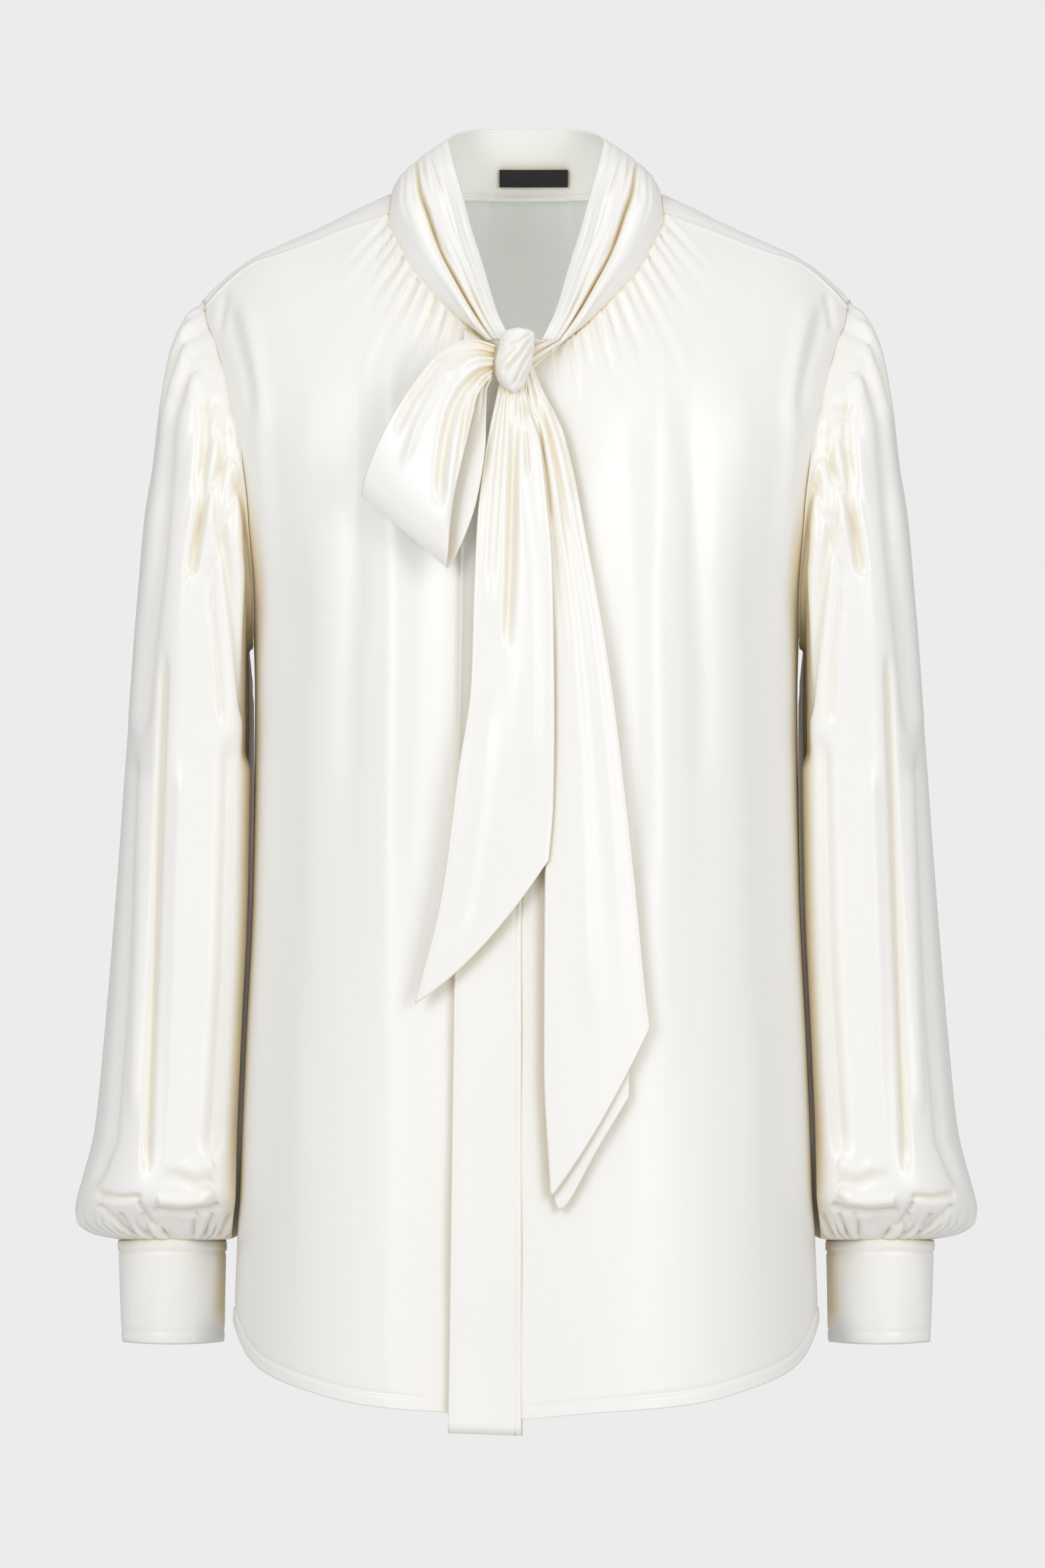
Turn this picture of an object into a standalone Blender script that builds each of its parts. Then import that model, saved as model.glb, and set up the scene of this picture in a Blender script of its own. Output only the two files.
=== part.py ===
"""Tie neck blouse in silk satin, worn shape with no wearer: fronts, back, sleeves, cuffs and a tied collar.

Metres, +Z up, the front faces -Y. The origin is midway between the shoulder seams at the neck.
Every panel is a cloth wall that follows one torso form, so the edges of neighbours meet at their seams.
"""

import math

import bpy
import numpy as np

# Cloth and seams
WALL = 0.0010
BAND_WALL = 0.0016
SEAM_GAP = 0.0004
ARMHOLE_GAP = 0.0008
HEM_DEPTH = 0.0070
HEM_RAISE = 0.0006

# Torso form
RIDGE_Z = 0.0136
RIDGE_Y = 0.0050
SQUARENESS = 2.3
SLOPE_ENDS_AT = 0.28

# Armhole, measured along the torso from the shoulder ridge
UNDERARM_ALONG = 0.327
SHOULDER_END_ALONG = 0.030
ARMHOLE_CUT = {"front": 0.095, "back": 0.115}

# Front opening
LEFT_FRONT_EDGE_X = -0.0035
RIGHT_FRONT_EDGE_X = 0.0060
UNDERLAP_DEPTH = 0.0026
UNDERLAP_FROM_X = 0.085
UNDERLAP_TO_X = 0.052
PLACKET_TOP_X = -0.0370
PLACKET_HEM_X = -0.0465
PLACKET_HEM_Z = -0.7270

# Gathers
NECK_GATHERS = 11
CAP_GATHERS = 24
CUFF_GATHERS = 32

# Cuffs
CUFF_X = 0.2120
CUFF_Y = 0.0300
CUFF_TOP_Z = -0.6135
CUFF_HEM_Z = -0.6745
CUFF_TOP_RADIUS = 0.0325
CUFF_HEM_RADIUS = 0.0308
CUFF_LAP_TURN = math.radians(34)
CUFF_LAP_START = math.radians(245)
CUFF_LAP_STEP = 0.0022
BUTTON_RADIUS = 0.0050
BUTTON_THICKNESS = 0.0022

SATIN = (0.93, 0.91, 0.85, 1.0)
LABEL_BLACK = (0.012, 0.012, 0.014, 1.0)
SHELL_WHITE = (0.90, 0.88, 0.82, 1.0)


class Table:
    """A short table with named columns, read by a smooth curve that never overshoots its rows."""

    def __init__(self, names, *rows):
        self.names = names.split()
        self.rows = np.array(rows, float)

    def read(self, name, at, key=None):
        keys = self.rows[:, self.names.index(key) if key else 0]
        values = self.rows[:, self.names.index(name)]
        at = np.clip(np.asarray(at, float), keys[0], keys[-1])
        widths = np.diff(keys)
        slopes = np.diff(values) / widths
        tangents = np.zeros(len(keys))
        same_way = slopes[:-1] * slopes[1:] > 0
        harmonic = 2 * slopes[:-1] * slopes[1:] / np.where(same_way, slopes[:-1] + slopes[1:], 1)
        tangents[1:-1] = np.where(same_way, harmonic, 0)
        tangents[0], tangents[-1] = slopes[0], slopes[-1]
        place = np.clip(np.searchsorted(keys, at, side="right") - 1, 0, len(widths) - 1)
        width = widths[place]
        t = (at - keys[place]) / width
        start = (1 + 2 * t) * (1 - t) ** 2 * values[place] + t * (1 - t) ** 2 * width * tangents[place]
        end = t * t * (3 - 2 * t) * values[place + 1] + t * t * (t - 1) * width * tangents[place + 1]
        return start + end


def ease(t):
    t = np.clip(t, 0, 1)
    return t * t * (3 - 2 * t)


def mix(a, b, t):
    return a + (b - a) * t


def unit(vectors):
    return vectors / np.maximum(np.linalg.norm(vectors, axis=-1, keepdims=True), 1e-12)


def signed_power(value, power):
    return np.sign(value) * np.abs(value) ** power


# Torso sections. "along" is the way over the cloth from the shoulder ridge, "drop" the height lost there,
# "front" and "back" how far the section reaches from the ridge line.
PROFILE = Table(
    "along drop front back",
    (0.000, 0.000, 0.000, 0.000),
    (0.015, 0.002, 0.015, 0.015),
    (0.030, 0.007, 0.029, 0.029),
    (0.050, 0.018, 0.046, 0.046),
    (0.080, 0.038, 0.068, 0.066),
    (0.120, 0.070, 0.091, 0.087),
    (0.160, 0.106, 0.107, 0.102),
    (0.210, 0.154, 0.121, 0.113),
    (0.270, 0.213, 0.130, 0.119),
    (0.340, 0.283, 0.134, 0.119),
    (0.460, 0.403, 0.136, 0.114),
    (0.570, 0.513, 0.138, 0.113),
    (0.670, 0.613, 0.140, 0.116),
    (0.830, 0.773, 0.142, 0.121),
)
WIDTHS = Table(
    "drop half",
    (0.000, 0.1940),
    (0.020, 0.1975),
    (0.070, 0.1965),
    (0.125, 0.1900),
    (0.180, 0.1785),
    (0.255, 0.1640),
    (0.300, 0.1625),
    (0.413, 0.1640),
    (0.513, 0.1685),
    (0.613, 0.1725),
    (0.675, 0.1750),
    (0.773, 0.1785),
)
SHOULDER_SLOPE = Table(
    "x fall",
    (0.000, -0.0240),
    (0.030, -0.0195),
    (0.058, -0.0110),
    (0.082, 0.0000),
    (0.096, 0.0066),
    (0.129, 0.0226),
    (0.163, 0.0381),
    (0.184, 0.0536),
    (0.194, 0.0636),
    (0.200, 0.0690),
)


def torso(theta, sigma):
    """A point of the form: theta turns from centre to side, sigma runs from the ridge, front negative."""
    theta, sigma = np.broadcast_arrays(np.asarray(theta, float), np.asarray(sigma, float))
    along = np.abs(sigma)
    drop = PROFILE.read("drop", along)
    half = WIDTHS.read("half", drop)
    across = signed_power(np.sin(theta), 2 / SQUARENESS)
    reach = signed_power(np.cos(theta), 2 / SQUARENESS)
    depth = np.where(sigma < 0, -PROFILE.read("front", along), PROFILE.read("back", along))
    x = half * across
    sloped = SHOULDER_SLOPE.read("fall", np.abs(x)) * slope_share(drop)
    return np.stack([x, RIDGE_Y + depth * reach, RIDGE_Z - drop - sloped], axis=-1)


def torso_normal(theta, sigma, step=1e-4):
    """The form's unit normal, to the outside."""
    across = torso(theta + step, sigma) - torso(theta - step, sigma)
    along = torso(theta, sigma + step) - torso(theta, sigma - step)
    return unit(np.cross(across, along))


def slope_share(drop):
    return 1 - ease(drop / SLOPE_ENDS_AT)


def drop_at(x, z):
    """The drop of the torso point with this x and z."""
    fall = SHOULDER_SLOPE.read("fall", np.abs(x))
    drop = np.clip(RIDGE_Z - z, 0, None)
    for _ in range(14):
        drop = np.clip(RIDGE_Z - z - fall * slope_share(drop), 0, None)
    return drop


def place(x, z, face):
    """Theta and sigma of the torso point with this x and z, on the front (face -1) or back (face 1)."""
    x, z = np.broadcast_arrays(np.asarray(x, float), np.asarray(z, float))
    drop = drop_at(x, z)
    ratio = np.clip(np.abs(x) / WIDTHS.read("half", drop), 0, 1)
    theta = np.sign(x) * np.arcsin(ratio ** (SQUARENESS / 2))
    return theta, face * PROFILE.read("along", drop, key="drop")


def front_y(x, z):
    return torso(*place(x, z, -1))[..., 1]


# Edges of the panels. The neckline runs from the centre back (turn 0) over the ridge to the centre front.
NECK_ROWS = (
    (0.00, 0.0000, 0.0120, 1),
    (0.12, 0.0250, 0.0121, 1),
    (0.25, 0.0520, 0.0125, 1),
    (0.36, 0.0750, 0.0132, 1),
    (0.42, 0.0815, 0.0136, 1),
    (0.50, 0.0826, 0.0000, -1),
    (0.60, 0.0765, -0.0170, -1),
    (0.70, 0.0680, -0.0330, -1),
    (0.80, 0.0530, -0.0500, -1),
    (0.89, 0.0350, -0.0680, -1),
    (0.96, 0.0180, -0.0800, -1),
    (1.00, 0.0020, -0.0870, -1),
)
NECK_SIDE = 0.50
SEAM_ROWS = (
    (0.00, 0.0826, 0.0000, -1),
    (0.35, 0.1180, -0.0125, -1),
    (0.60, 0.1450, -0.0225, -1),
    (0.80, 0.1680, -0.0315, -1),
)


def placed_table(rows):
    """A table of an edge by its turn, with each row's x and z placed on the torso."""
    placed = []
    for turn, x, z, face in rows:
        theta, sigma = place(x, z, face)
        placed.append((turn, float(theta), float(sigma)))
    return placed


def armhole_theta(sigma):
    sigma = np.asarray(sigma, float)
    share = np.clip(np.abs(sigma) / UNDERARM_ALONG, 0, 1)
    cut = np.where(sigma < 0, ARMHOLE_CUT["front"], ARMHOLE_CUT["back"])
    across = 1 - cut * np.clip(np.sin(np.pi * share), 0, 1) ** 1.4
    return np.arcsin(across ** (SQUARENESS / 2))


NECKLINE = Table("turn theta sigma", *placed_table(NECK_ROWS))
SHOULDER_SEAM = Table(
    "turn theta sigma",
    *placed_table(SEAM_ROWS),
    (1.0, float(armhole_theta(-SHOULDER_END_ALONG)), -SHOULDER_END_ALONG),
)
FRONT_HEM = Table(
    "x z",
    (0.000, -0.7170),
    (0.048, -0.7130),
    (0.073, -0.7115),
    (0.103, -0.7080),
    (0.133, -0.7000),
    (0.155, -0.6910),
    (0.166, -0.6810),
    (0.174, -0.6640),
    (0.176, -0.6560),
)


def hem_curve(theta, face):
    """Theta and sigma along the curved shirt tail hem."""
    sigma = np.full(np.shape(theta), face * 0.77)
    for _ in range(6):
        x = np.abs(torso(theta, sigma)[..., 0])
        drop = RIDGE_Z - FRONT_HEM.read("z", x)
        sigma = face * PROFILE.read("along", drop, key="drop")
    return sigma


def top_edge(u, neck_turn_at_centre, neck_share):
    """Neckline and then shoulder seam, from the centre line outwards."""
    on_neck = u < neck_share
    turn = mix(neck_turn_at_centre, NECK_SIDE, np.clip(u / neck_share, 0, 1))
    seam = np.clip((u - neck_share) / (1 - neck_share), 0, 1)
    theta = np.where(on_neck, NECKLINE.read("theta", turn), SHOULDER_SEAM.read("theta", seam))
    sigma = np.where(on_neck, NECKLINE.read("sigma", turn), SHOULDER_SEAM.read("sigma", seam))
    return np.stack([theta, sigma], axis=-1)


def side_edge(v, face):
    """Armhole and then side seam, from the shoulder seam to the hem."""
    hem = hem_curve(np.array(math.pi / 2), face)
    sigma = mix(-SHOULDER_END_ALONG, float(hem), v)
    return np.stack([armhole_theta(sigma), sigma], axis=-1)


def panel_patch(face, centre_x, neck_turn, neck_share, hem_neck_theta):
    """Theta and sigma of half a panel, as a patch that keeps its four edges."""
    neck_sigma = float(NECKLINE.read("sigma", neck_turn))
    hem_sigma = float(hem_curve(np.array(0.0), face))

    def centre_edge(v):
        sigma = mix(neck_sigma, hem_sigma, v)
        half = WIDTHS.read("half", PROFILE.read("drop", np.abs(sigma)))
        theta = np.sign(centre_x) * np.arcsin((abs(centre_x) / half) ** (SQUARENESS / 2))
        return np.stack([theta, sigma], axis=-1)

    start_theta = float(centre_edge(np.array(1.0))[0])

    def hem_edge(u):
        near = mix(start_theta, hem_neck_theta, u / neck_share)
        far = mix(hem_neck_theta, math.pi / 2, (u - neck_share) / (1 - neck_share))
        theta = np.where(u < neck_share, near, far)
        return np.stack([theta, hem_curve(theta, face)], axis=-1)

    def patch(u, v):
        u, v = np.broadcast_arrays(np.asarray(u, float), np.asarray(v, float))
        a, b = u[..., None], v[..., None]
        ends = np.array([0.0, 1.0])
        top_ends, hem_ends = top_edge(ends, neck_turn, neck_share), hem_edge(ends)
        top_ends[0] = centre_edge(ends)[0]
        top_line, hem_line = mix(top_ends[0], top_ends[1], a), mix(hem_ends[0], hem_ends[1], a)
        centre_line, side_line = mix(top_ends[0], hem_ends[0], b), mix(top_ends[1], hem_ends[1], b)
        return (
            mix(top_line, hem_line, b)
            + (top_edge(u, neck_turn, neck_share) - top_line) * (1 - b) ** 2.5
            + (hem_edge(u) - hem_line) * b**2.5
            + (centre_edge(v) - centre_line) * (1 - a)
            + (side_edge(v, face) - side_line) * a**5
        )

    return patch


def normals_of(surface, u, v, step=1e-4, wraps=False):
    """Unit normals of a surface, to the outside when u runs outwards and v downwards on the wearer's left."""
    low_v, high_v = np.clip(v - step, 0, 1), np.clip(v + step, 0, 1)
    low_u, high_u = (u - step, u + step) if wraps else (np.clip(u - step, 0, 1), np.clip(u + step, 0, 1))
    along_u = surface(high_u, v) - surface(low_u, v)
    along_v = surface(u, high_v) - surface(u, low_v)
    return unit(np.cross(along_u, along_v))


def row_normals(points, towards=np.array([0.0, -1.0, 0.0])):
    """Unit normals of a grid of points (rows, columns, 3), turned towards a direction."""
    down = np.gradient(points, axis=0)
    over = np.gradient(points, axis=1)
    normal = unit(np.cross(down, over))
    flat = normal @ towards
    return normal * np.sign(np.where(flat == 0, 1, flat))[..., None]


def strip_faces(first, second, first_keys, second_keys, closed):
    """Faces between two rows of point numbers, quads where their keys agree and triangles elsewhere."""
    if closed:
        first, second = list(first) + [first[0]], list(second) + [second[0]]
        first_keys, second_keys = np.append(first_keys, 1.0), np.append(second_keys, 1.0)
    faces, i, j = [], 0, 0
    while i < len(first) - 1 or j < len(second) - 1:
        next_i = first_keys[i + 1] if i < len(first) - 1 else math.inf
        next_j = second_keys[j + 1] if j < len(second) - 1 else math.inf
        if abs(next_i - next_j) < 1e-9:
            faces.append((first[i], second[j], second[j + 1], first[i + 1]))
            i, j = i + 1, j + 1
        elif next_i < next_j:
            faces.append((first[i], second[j], first[i + 1]))
            i += 1
        else:
            faces.append((first[i], second[j], second[j + 1]))
            j += 1
    return faces


def wall_object(name, rows, colour, closed=False, roughness=0.35):
    """A closed solid from rows of (keys, outer points, inner points)."""
    points, faces, numbers = [], [], []
    for keys, outer, inner in rows:
        start = len(points)
        points.extend(outer)
        points.extend(inner)
        numbers.append((range(start, start + len(outer)), range(start + len(outer), start + 2 * len(outer))))
    for (keys, _, _), (next_keys, _, _), here, there in zip(rows, rows[1:], numbers, numbers[1:]):
        faces += strip_faces(here[0], there[0], keys, next_keys, closed)
        faces += [f[::-1] for f in strip_faces(here[1], there[1], keys, next_keys, closed)]
        if not closed:
            faces.append((here[0][0], here[1][0], there[1][0], there[0][0]))
            faces.append((here[0][-1], there[0][-1], there[1][-1], here[1][-1]))
    for (outer, inner), flipped in ((numbers[0], False), (numbers[-1], True)):
        ring = list(zip(outer, inner))
        pairs = zip(ring, ring[1:] + ring[:1]) if closed else zip(ring, ring[1:])
        for (a, a_in), (b, b_in) in pairs:
            faces.append((a, a_in, b_in, b) if flipped else (a, b, b_in, a_in))
    return mesh_object(name, points, faces, colour, roughness)


def mesh_object(name, points, faces, colour, roughness=0.35, sharp_degrees=50):
    mesh = bpy.data.meshes.new(name)
    mesh.from_pydata([tuple(map(float, p)) for p in points], [], [tuple(f) for f in faces])
    mesh.validate()
    mesh.shade_smooth()
    mesh.set_sharp_from_angle(angle=math.radians(sharp_degrees))
    obj = bpy.data.objects.new(name, mesh)
    bpy.context.scene.collection.objects.link(obj)
    material = bpy.data.materials.new(name)
    material.use_nodes = True
    shader = material.node_tree.nodes["Principled BSDF"]
    shader.inputs["Base Color"].default_value = colour
    shader.inputs["Roughness"].default_value = roughness
    shader.inputs["Metallic"].default_value = 0.0
    mesh.materials.append(material)
    face_out(obj)
    return obj


def face_out(obj):
    """Turns a closed mesh the right way round, by the sign of its volume."""
    mesh = obj.data
    mesh.calc_loop_triangles()
    co = np.array([v.co for v in mesh.vertices])
    corners = co[np.array([t.vertices for t in mesh.loop_triangles])]
    if np.linalg.det(corners).sum() < 0:
        mesh.flip_normals()


def mirrored(points, side):
    return points * np.array([side, 1.0, 1.0])


# Front and back panels
FRONT_NECK_SHARE = 0.50
BACK_NECK_SHARE = 0.50
HEM_NECK_THETA = math.radians(25)
SOFT_FOLDS = Table(
    # Broad folds of a front: place across, depth, half width, and the heights where it starts and ends
    "u depth width start end",
    (0.16, 0.0022, 0.040, 0.06, 0.95),
    (0.33, 0.0030, 0.045, 0.05, 0.80),
    (0.52, 0.0022, 0.050, 0.10, 1.00),
    (0.70, 0.0026, 0.050, 0.12, 0.85),
    (0.86, 0.0040, 0.045, 0.03, 0.55),
)


def soft_folds(u, v):
    raised = np.zeros(np.broadcast(u, v).shape)
    for place_u, depth, width, start, end in SOFT_FOLDS.rows:
        along = ease((v - start) / 0.12) * ease((end - v) / 0.30)
        raised = raised + depth * along * np.exp(-(((u - place_u) / width) ** 2))
    return raised - 0.0010


def neck_gathers(u, v, share, count):
    """Pinched at the neck seam, opening just below it and melting into the panel."""
    inside = ease(u / 0.03) * ease((share + 0.02 - u) / 0.04)
    height = mix(0.0007, 0.0019, ease(v / 0.02)) * np.exp(-((v / 0.075) ** 2))
    return height * inside * np.cos(2 * np.pi * count * u / share)


def seam_shift(v, face):
    """Half of the seam gap between front and back: downhill at the shoulder seam, towards y at the side."""
    shift = np.zeros(np.shape(v) + (3,))
    shift[..., 1] = face * mix(1.6, 0.6, ease(v / 0.02)) * SEAM_GAP
    shift[..., 2] = face * 0.5 * SEAM_GAP * (1 - ease(v / 0.02))
    return shift


def hem_raise(v, length=0.63):
    return np.where(v > 1 - HEM_DEPTH / length, HEM_RAISE, 0.0)


# Sigma of each row where it meets the side, a row lying on the underarm point
FRONT_ROWS = (-0.030, -0.038, -0.050, -0.068, -0.090, -0.115, -0.145, -0.180, -0.215, -0.250, -0.280, -0.305)
BACK_ROWS = (-0.030, -0.015, 0.0, 0.020, 0.040, 0.065, 0.095, 0.130, 0.165, 0.205, 0.245, 0.280, 0.305)
BODY_ROWS = (UNDERARM_ALONG, 0.380, 0.450, 0.530, 0.610)
HEM_ROWS = (0.9875, 0.9895, 1.0)


def panel_rows(face):
    """The v of every row of a panel."""
    upper = FRONT_ROWS if face < 0 else BACK_ROWS
    sigma = np.array(upper + tuple(face * s for s in BODY_ROWS))
    hem = float(hem_curve(np.array(math.pi / 2), face))
    return tuple((sigma + SHOULDER_END_ALONG) / (hem + SHOULDER_END_ALONG)) + HEM_ROWS


def gather_keys(share, count, coarse_columns):
    """Two columns for each gather, and evenly spaced ones past the neck."""
    fine = np.arange(2 * count + 1) / (2 * count) * share
    return np.concatenate([fine, np.linspace(share, 1, coarse_columns + 1)[1:]])


def build_front(name, side, centre_x):
    patch = panel_patch(-1, centre_x, 1.0, FRONT_NECK_SHARE, HEM_NECK_THETA)
    fine = gather_keys(FRONT_NECK_SHARE, NECK_GATHERS, 10)
    coarse = np.linspace(0, 1, 19)
    rows = []
    for v in panel_rows(-1):
        keys = fine if v < 0.10 else coarse
        heights = np.full(len(keys), v)
        at = patch(keys, heights)
        points, normal = torso(at[:, 0], at[:, 1]), torso_normal(at[:, 0], at[:, 1])
        lift = soft_folds(keys, heights) + neck_gathers(keys, heights, FRONT_NECK_SHARE, NECK_GATHERS)
        lift = lift + hem_raise(heights)
        if side < 0:
            covered = 1 - ease((points[:, 0] - UNDERLAP_TO_X) / (UNDERLAP_FROM_X - UNDERLAP_TO_X))
            lift = mix(lift, 0.0, covered) - UNDERLAP_DEPTH * covered
        else:
            lift = lift * ease((points[:, 0] - LEFT_FRONT_EDGE_X) / 0.012)
        seam = 1 - ease(np.minimum(1 - keys, 1.0) / 0.05)
        lift = lift * (1 - seam)
        outer = points + normal * lift[:, None] + seam_shift(heights, -1)
        inner = outer - normal * (WALL + hem_raise(heights) / 2)[:, None]
        rows.append((keys, mirrored(outer, side), mirrored(inner, side)))
    return wall_object(name, rows, SATIN)


BACK_HALF_COLUMNS = 14


def build_back():
    patch = panel_patch(1, 0.0, 0.0, BACK_NECK_SHARE, HEM_NECK_THETA)
    half = np.linspace(0, 1, BACK_HALF_COLUMNS + 1)
    rows = []
    for v in panel_rows(1):
        heights = np.full(len(half), v)
        at = patch(half, heights)
        points, normal = torso(at[:, 0], at[:, 1]), torso_normal(at[:, 0], at[:, 1])
        fade = ease((v - 0.05) / 0.2) * ease((1 - half) / 0.25)
        lift = 0.0022 * np.cos(half * 6.2 * np.pi) * fade + hem_raise(heights)
        outer = points + normal * lift[:, None] + seam_shift(heights, 1)
        inner = outer - normal * (WALL + hem_raise(heights) / 2)[:, None]
        both = [np.concatenate([mirrored(p[:0:-1], -1), p]) for p in (outer, inner)]
        keys = np.concatenate([0.5 - half[:0:-1] / 2, 0.5 + half / 2])
        rows.append((keys, both[0], both[1]))
    return wall_object("back", rows, SATIN)


def build_placket():
    """The fly band on the wearer's left front: double cloth that lies over the right front."""
    rows = []
    for v in np.linspace(0, 1, 19):
        edge = mix(PLACKET_TOP_X, PLACKET_HEM_X, v)
        keys = np.linspace(0, 1, 6)
        x = mix(LEFT_FRONT_EDGE_X - SEAM_GAP, edge, keys)
        neck = np.interp(-x, [0.002, 0.018, 0.035, 0.053], [-0.0885, -0.0815, -0.0695, -0.0515])
        z = mix(neck, PLACKET_HEM_Z + 0.0015 * keys, v)
        theta, sigma = place(x, z, -1)
        outer = torso(theta, sigma)
        outer[:, 1] -= SEAM_GAP / 2 + HEM_RAISE * (v > 0.98)
        inner = outer + np.array([0.0, BAND_WALL, 0.0])
        rows.append((keys, outer, inner))
    return wall_object("front_placket", rows, SATIN)


# Sleeves. "outer" and "inner" are the outline from the front, "front" and "back" the depths from the middle.
SLEEVE = Table(
    "fall outer inner depth middle",
    (0.050, 0.1940, 0.1640, 0.060, 0.005),
    (0.058, 0.2000, 0.1640, 0.062, 0.005),
    (0.072, 0.2067, 0.1640, 0.064, 0.005),
    (0.088, 0.2120, 0.1640, 0.066, 0.005),
    (0.120, 0.2200, 0.1640, 0.068, 0.006),
    (0.151, 0.2240, 0.1640, 0.069, 0.008),
    (0.183, 0.2290, 0.1640, 0.070, 0.011),
    (0.246, 0.2340, 0.1640, 0.071, 0.018),
    (0.310, 0.2390, 0.1632, 0.071, 0.025),
    (0.405, 0.2460, 0.1640, 0.070, 0.031),
    (0.500, 0.2540, 0.1670, 0.068, 0.034),
    (0.547, 0.2590, 0.1690, 0.067, 0.034),
    (0.579, 0.2670, 0.1670, 0.066, 0.033),
    (0.588, 0.2695, 0.1655, 0.063, 0.032),
    (0.595, 0.2705, 0.1650, 0.057, 0.032),
    (0.603, 0.2690, 0.1655, 0.047, 0.031),
    (0.609, 0.2603, 0.1699, 0.0392, 0.030),
    (0.6118, 0.2490, 0.1760, 0.0345, 0.030),
    (0.6131, 0.2440, 0.1800, 0.0320, 0.030),
)
SLEEVE_END_Z = -0.6131
SLEEVE_SQUARENESS = 2.15
SLEEVE_CLEAR = 0.0026
SLEEVE_CREASES = Table(
    # Long creases: the angle round the arm at the cap and at the cuff, depth, half width, start and end
    "cap_angle cuff_angle depth width start end",
    (50, 38, 0.0055, 8, 0.03, 0.97),
    (82, 88, 0.0045, 8, 0.04, 0.42),
    (60, 76, 0.0035, 6, 0.30, 0.95),
    (112, 128, 0.0050, 9, 0.05, 0.60),
    (102, 118, 0.0030, 12, 0.55, 0.93),
    (20, 12, 0.0030, 8, 0.05, 0.70),
    (-14, -20, 0.0035, 8, 0.06, 0.85),
    (-44, -52, 0.0050, 9, 0.03, 0.93),
    (-78, -70, 0.0040, 9, 0.05, 0.60),
    (-96, -100, 0.0045, 8, 0.35, 0.95),
    (-124, -132, 0.0040, 10, 0.08, 0.80),
)


def armhole_loop(keys):
    """Places round the armhole by share of its length: top, front, underarm, back and to the top again."""
    share = (1 - np.cos(np.linspace(0, np.pi, 400))) / 2
    sigma = np.concatenate([-UNDERARM_ALONG * share, UNDERARM_ALONG * share[::-1][1:]])
    points = torso(armhole_theta(sigma), sigma)
    length = np.concatenate([[0], np.cumsum(np.linalg.norm(np.diff(points, axis=0), axis=1))])
    sigma = np.interp(keys * length[-1], length, sigma)
    return armhole_theta(sigma), sigma


LOOP_STEPS = 360
LOOP_POINTS = torso(*armhole_loop(np.arange(LOOP_STEPS + 1) / LOOP_STEPS))


def clear_of_torso(points, clearance):
    """Moves points of the sleeve sideways until they lie outside the body panels."""
    drop = drop_at(np.clip(points[..., 0], 0, 0.2), points[..., 2])
    half, along = WIDTHS.read("half", drop), PROFILE.read("along", drop, key="drop")
    y = points[..., 1] - RIDGE_Y
    depth = np.where(y < 0, PROFILE.read("front", along), PROFILE.read("back", along))
    share = np.abs(y) / np.maximum(depth, 1e-4)
    reach = np.clip(1 - share**SQUARENESS, 0, 1) ** (1 / SQUARENESS)
    moved = points.copy()
    moved[..., 0] = np.maximum(points[..., 0], half * reach + clearance)
    return moved


def sleeve_surface(keys, w):
    """The sleeve's smooth form: keys are shares of a turn from the top of the arm, w runs from cap to cuff."""
    turn = 2 * np.pi * keys
    at = (keys % 1.0) * LOOP_STEPS
    start = np.stack([np.interp(at, np.arange(LOOP_STEPS + 1), LOOP_POINTS[:, k]) for k in range(3)], axis=-1)
    z = mix(start[..., 2], SLEEVE_END_Z, w)
    outer, inner = SLEEVE.read("outer", -z), SLEEVE.read("inner", -z)
    depth, middle = SLEEVE.read("depth", -z), SLEEVE.read("middle", -z)
    x = (outer + inner) / 2 + (outer - inner) / 2 * signed_power(np.cos(turn), 2 / SLEEVE_SQUARENESS)
    y = middle - depth * signed_power(np.sin(turn), 2 / SLEEVE_SQUARENESS)
    share = 1 - (1 - np.clip(w / 0.30, 0, 1)) ** 3
    share_out = mix(share, 1.0, ((1 + np.cos(turn)) / 2) ** 3 * ease(w / 0.015))
    x, y = mix(start[..., 0], x, share_out), mix(start[..., 1], y, share)
    return clear_of_torso(np.stack([x, y, z], axis=-1), SLEEVE_CLEAR * ease(w / 0.018))


def sleeve_lift(keys, w):
    """Gathers at the cap and the cuff, long creases between them, and the swag that falls over the cuff."""
    angle = (np.degrees(2 * np.pi * keys) + 180) % 360 - 180
    around_top = ease((140 - np.abs(angle)) / 30)
    cap = mix(0.0005, 0.0022, ease(w / 0.04)) * np.exp(-((w / 0.14) ** 2))
    lift = cap * around_top * np.cos(2 * np.pi * CAP_GATHERS * keys)
    lift = lift + 0.0040 * np.exp(-(((w - 0.05) / 0.05) ** 2)) * around_top * ease(w / 0.02)
    for cap_angle, cuff_angle, depth, width, start, end in SLEEVE_CREASES.rows:
        centre = mix(cap_angle, cuff_angle, w)
        away = (angle - centre + 180) % 360 - 180
        along = ease((w - start) / 0.10) * ease((end - w) / 0.12)
        lift = lift - depth * along * np.exp(-((away / width) ** 2))
    swag = np.exp(-(((w - 0.965) / 0.014) ** 2)) * ease((150 - np.abs(angle - 110)) / 60)
    lift = lift - 0.0030 * swag
    cuff = 0.0021 * np.exp(-(((w - 0.992) / 0.016) ** 2)) * ease((1.003 - w) / 0.006)
    return lift + cuff * np.cos(2 * np.pi * CUFF_GATHERS * keys)


SLEEVE_ROWS = (
    *((w, 2 * CAP_GATHERS) for w in (0.0, 0.020, 0.060, 0.130)),
    *((w, 40) for w in (0.22, 0.33, 0.45, 0.57, 0.69, 0.80, 0.90)),
    *((w, 2 * CUFF_GATHERS) for w in (0.952, 0.975, 0.990, 1.0)),
)


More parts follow.
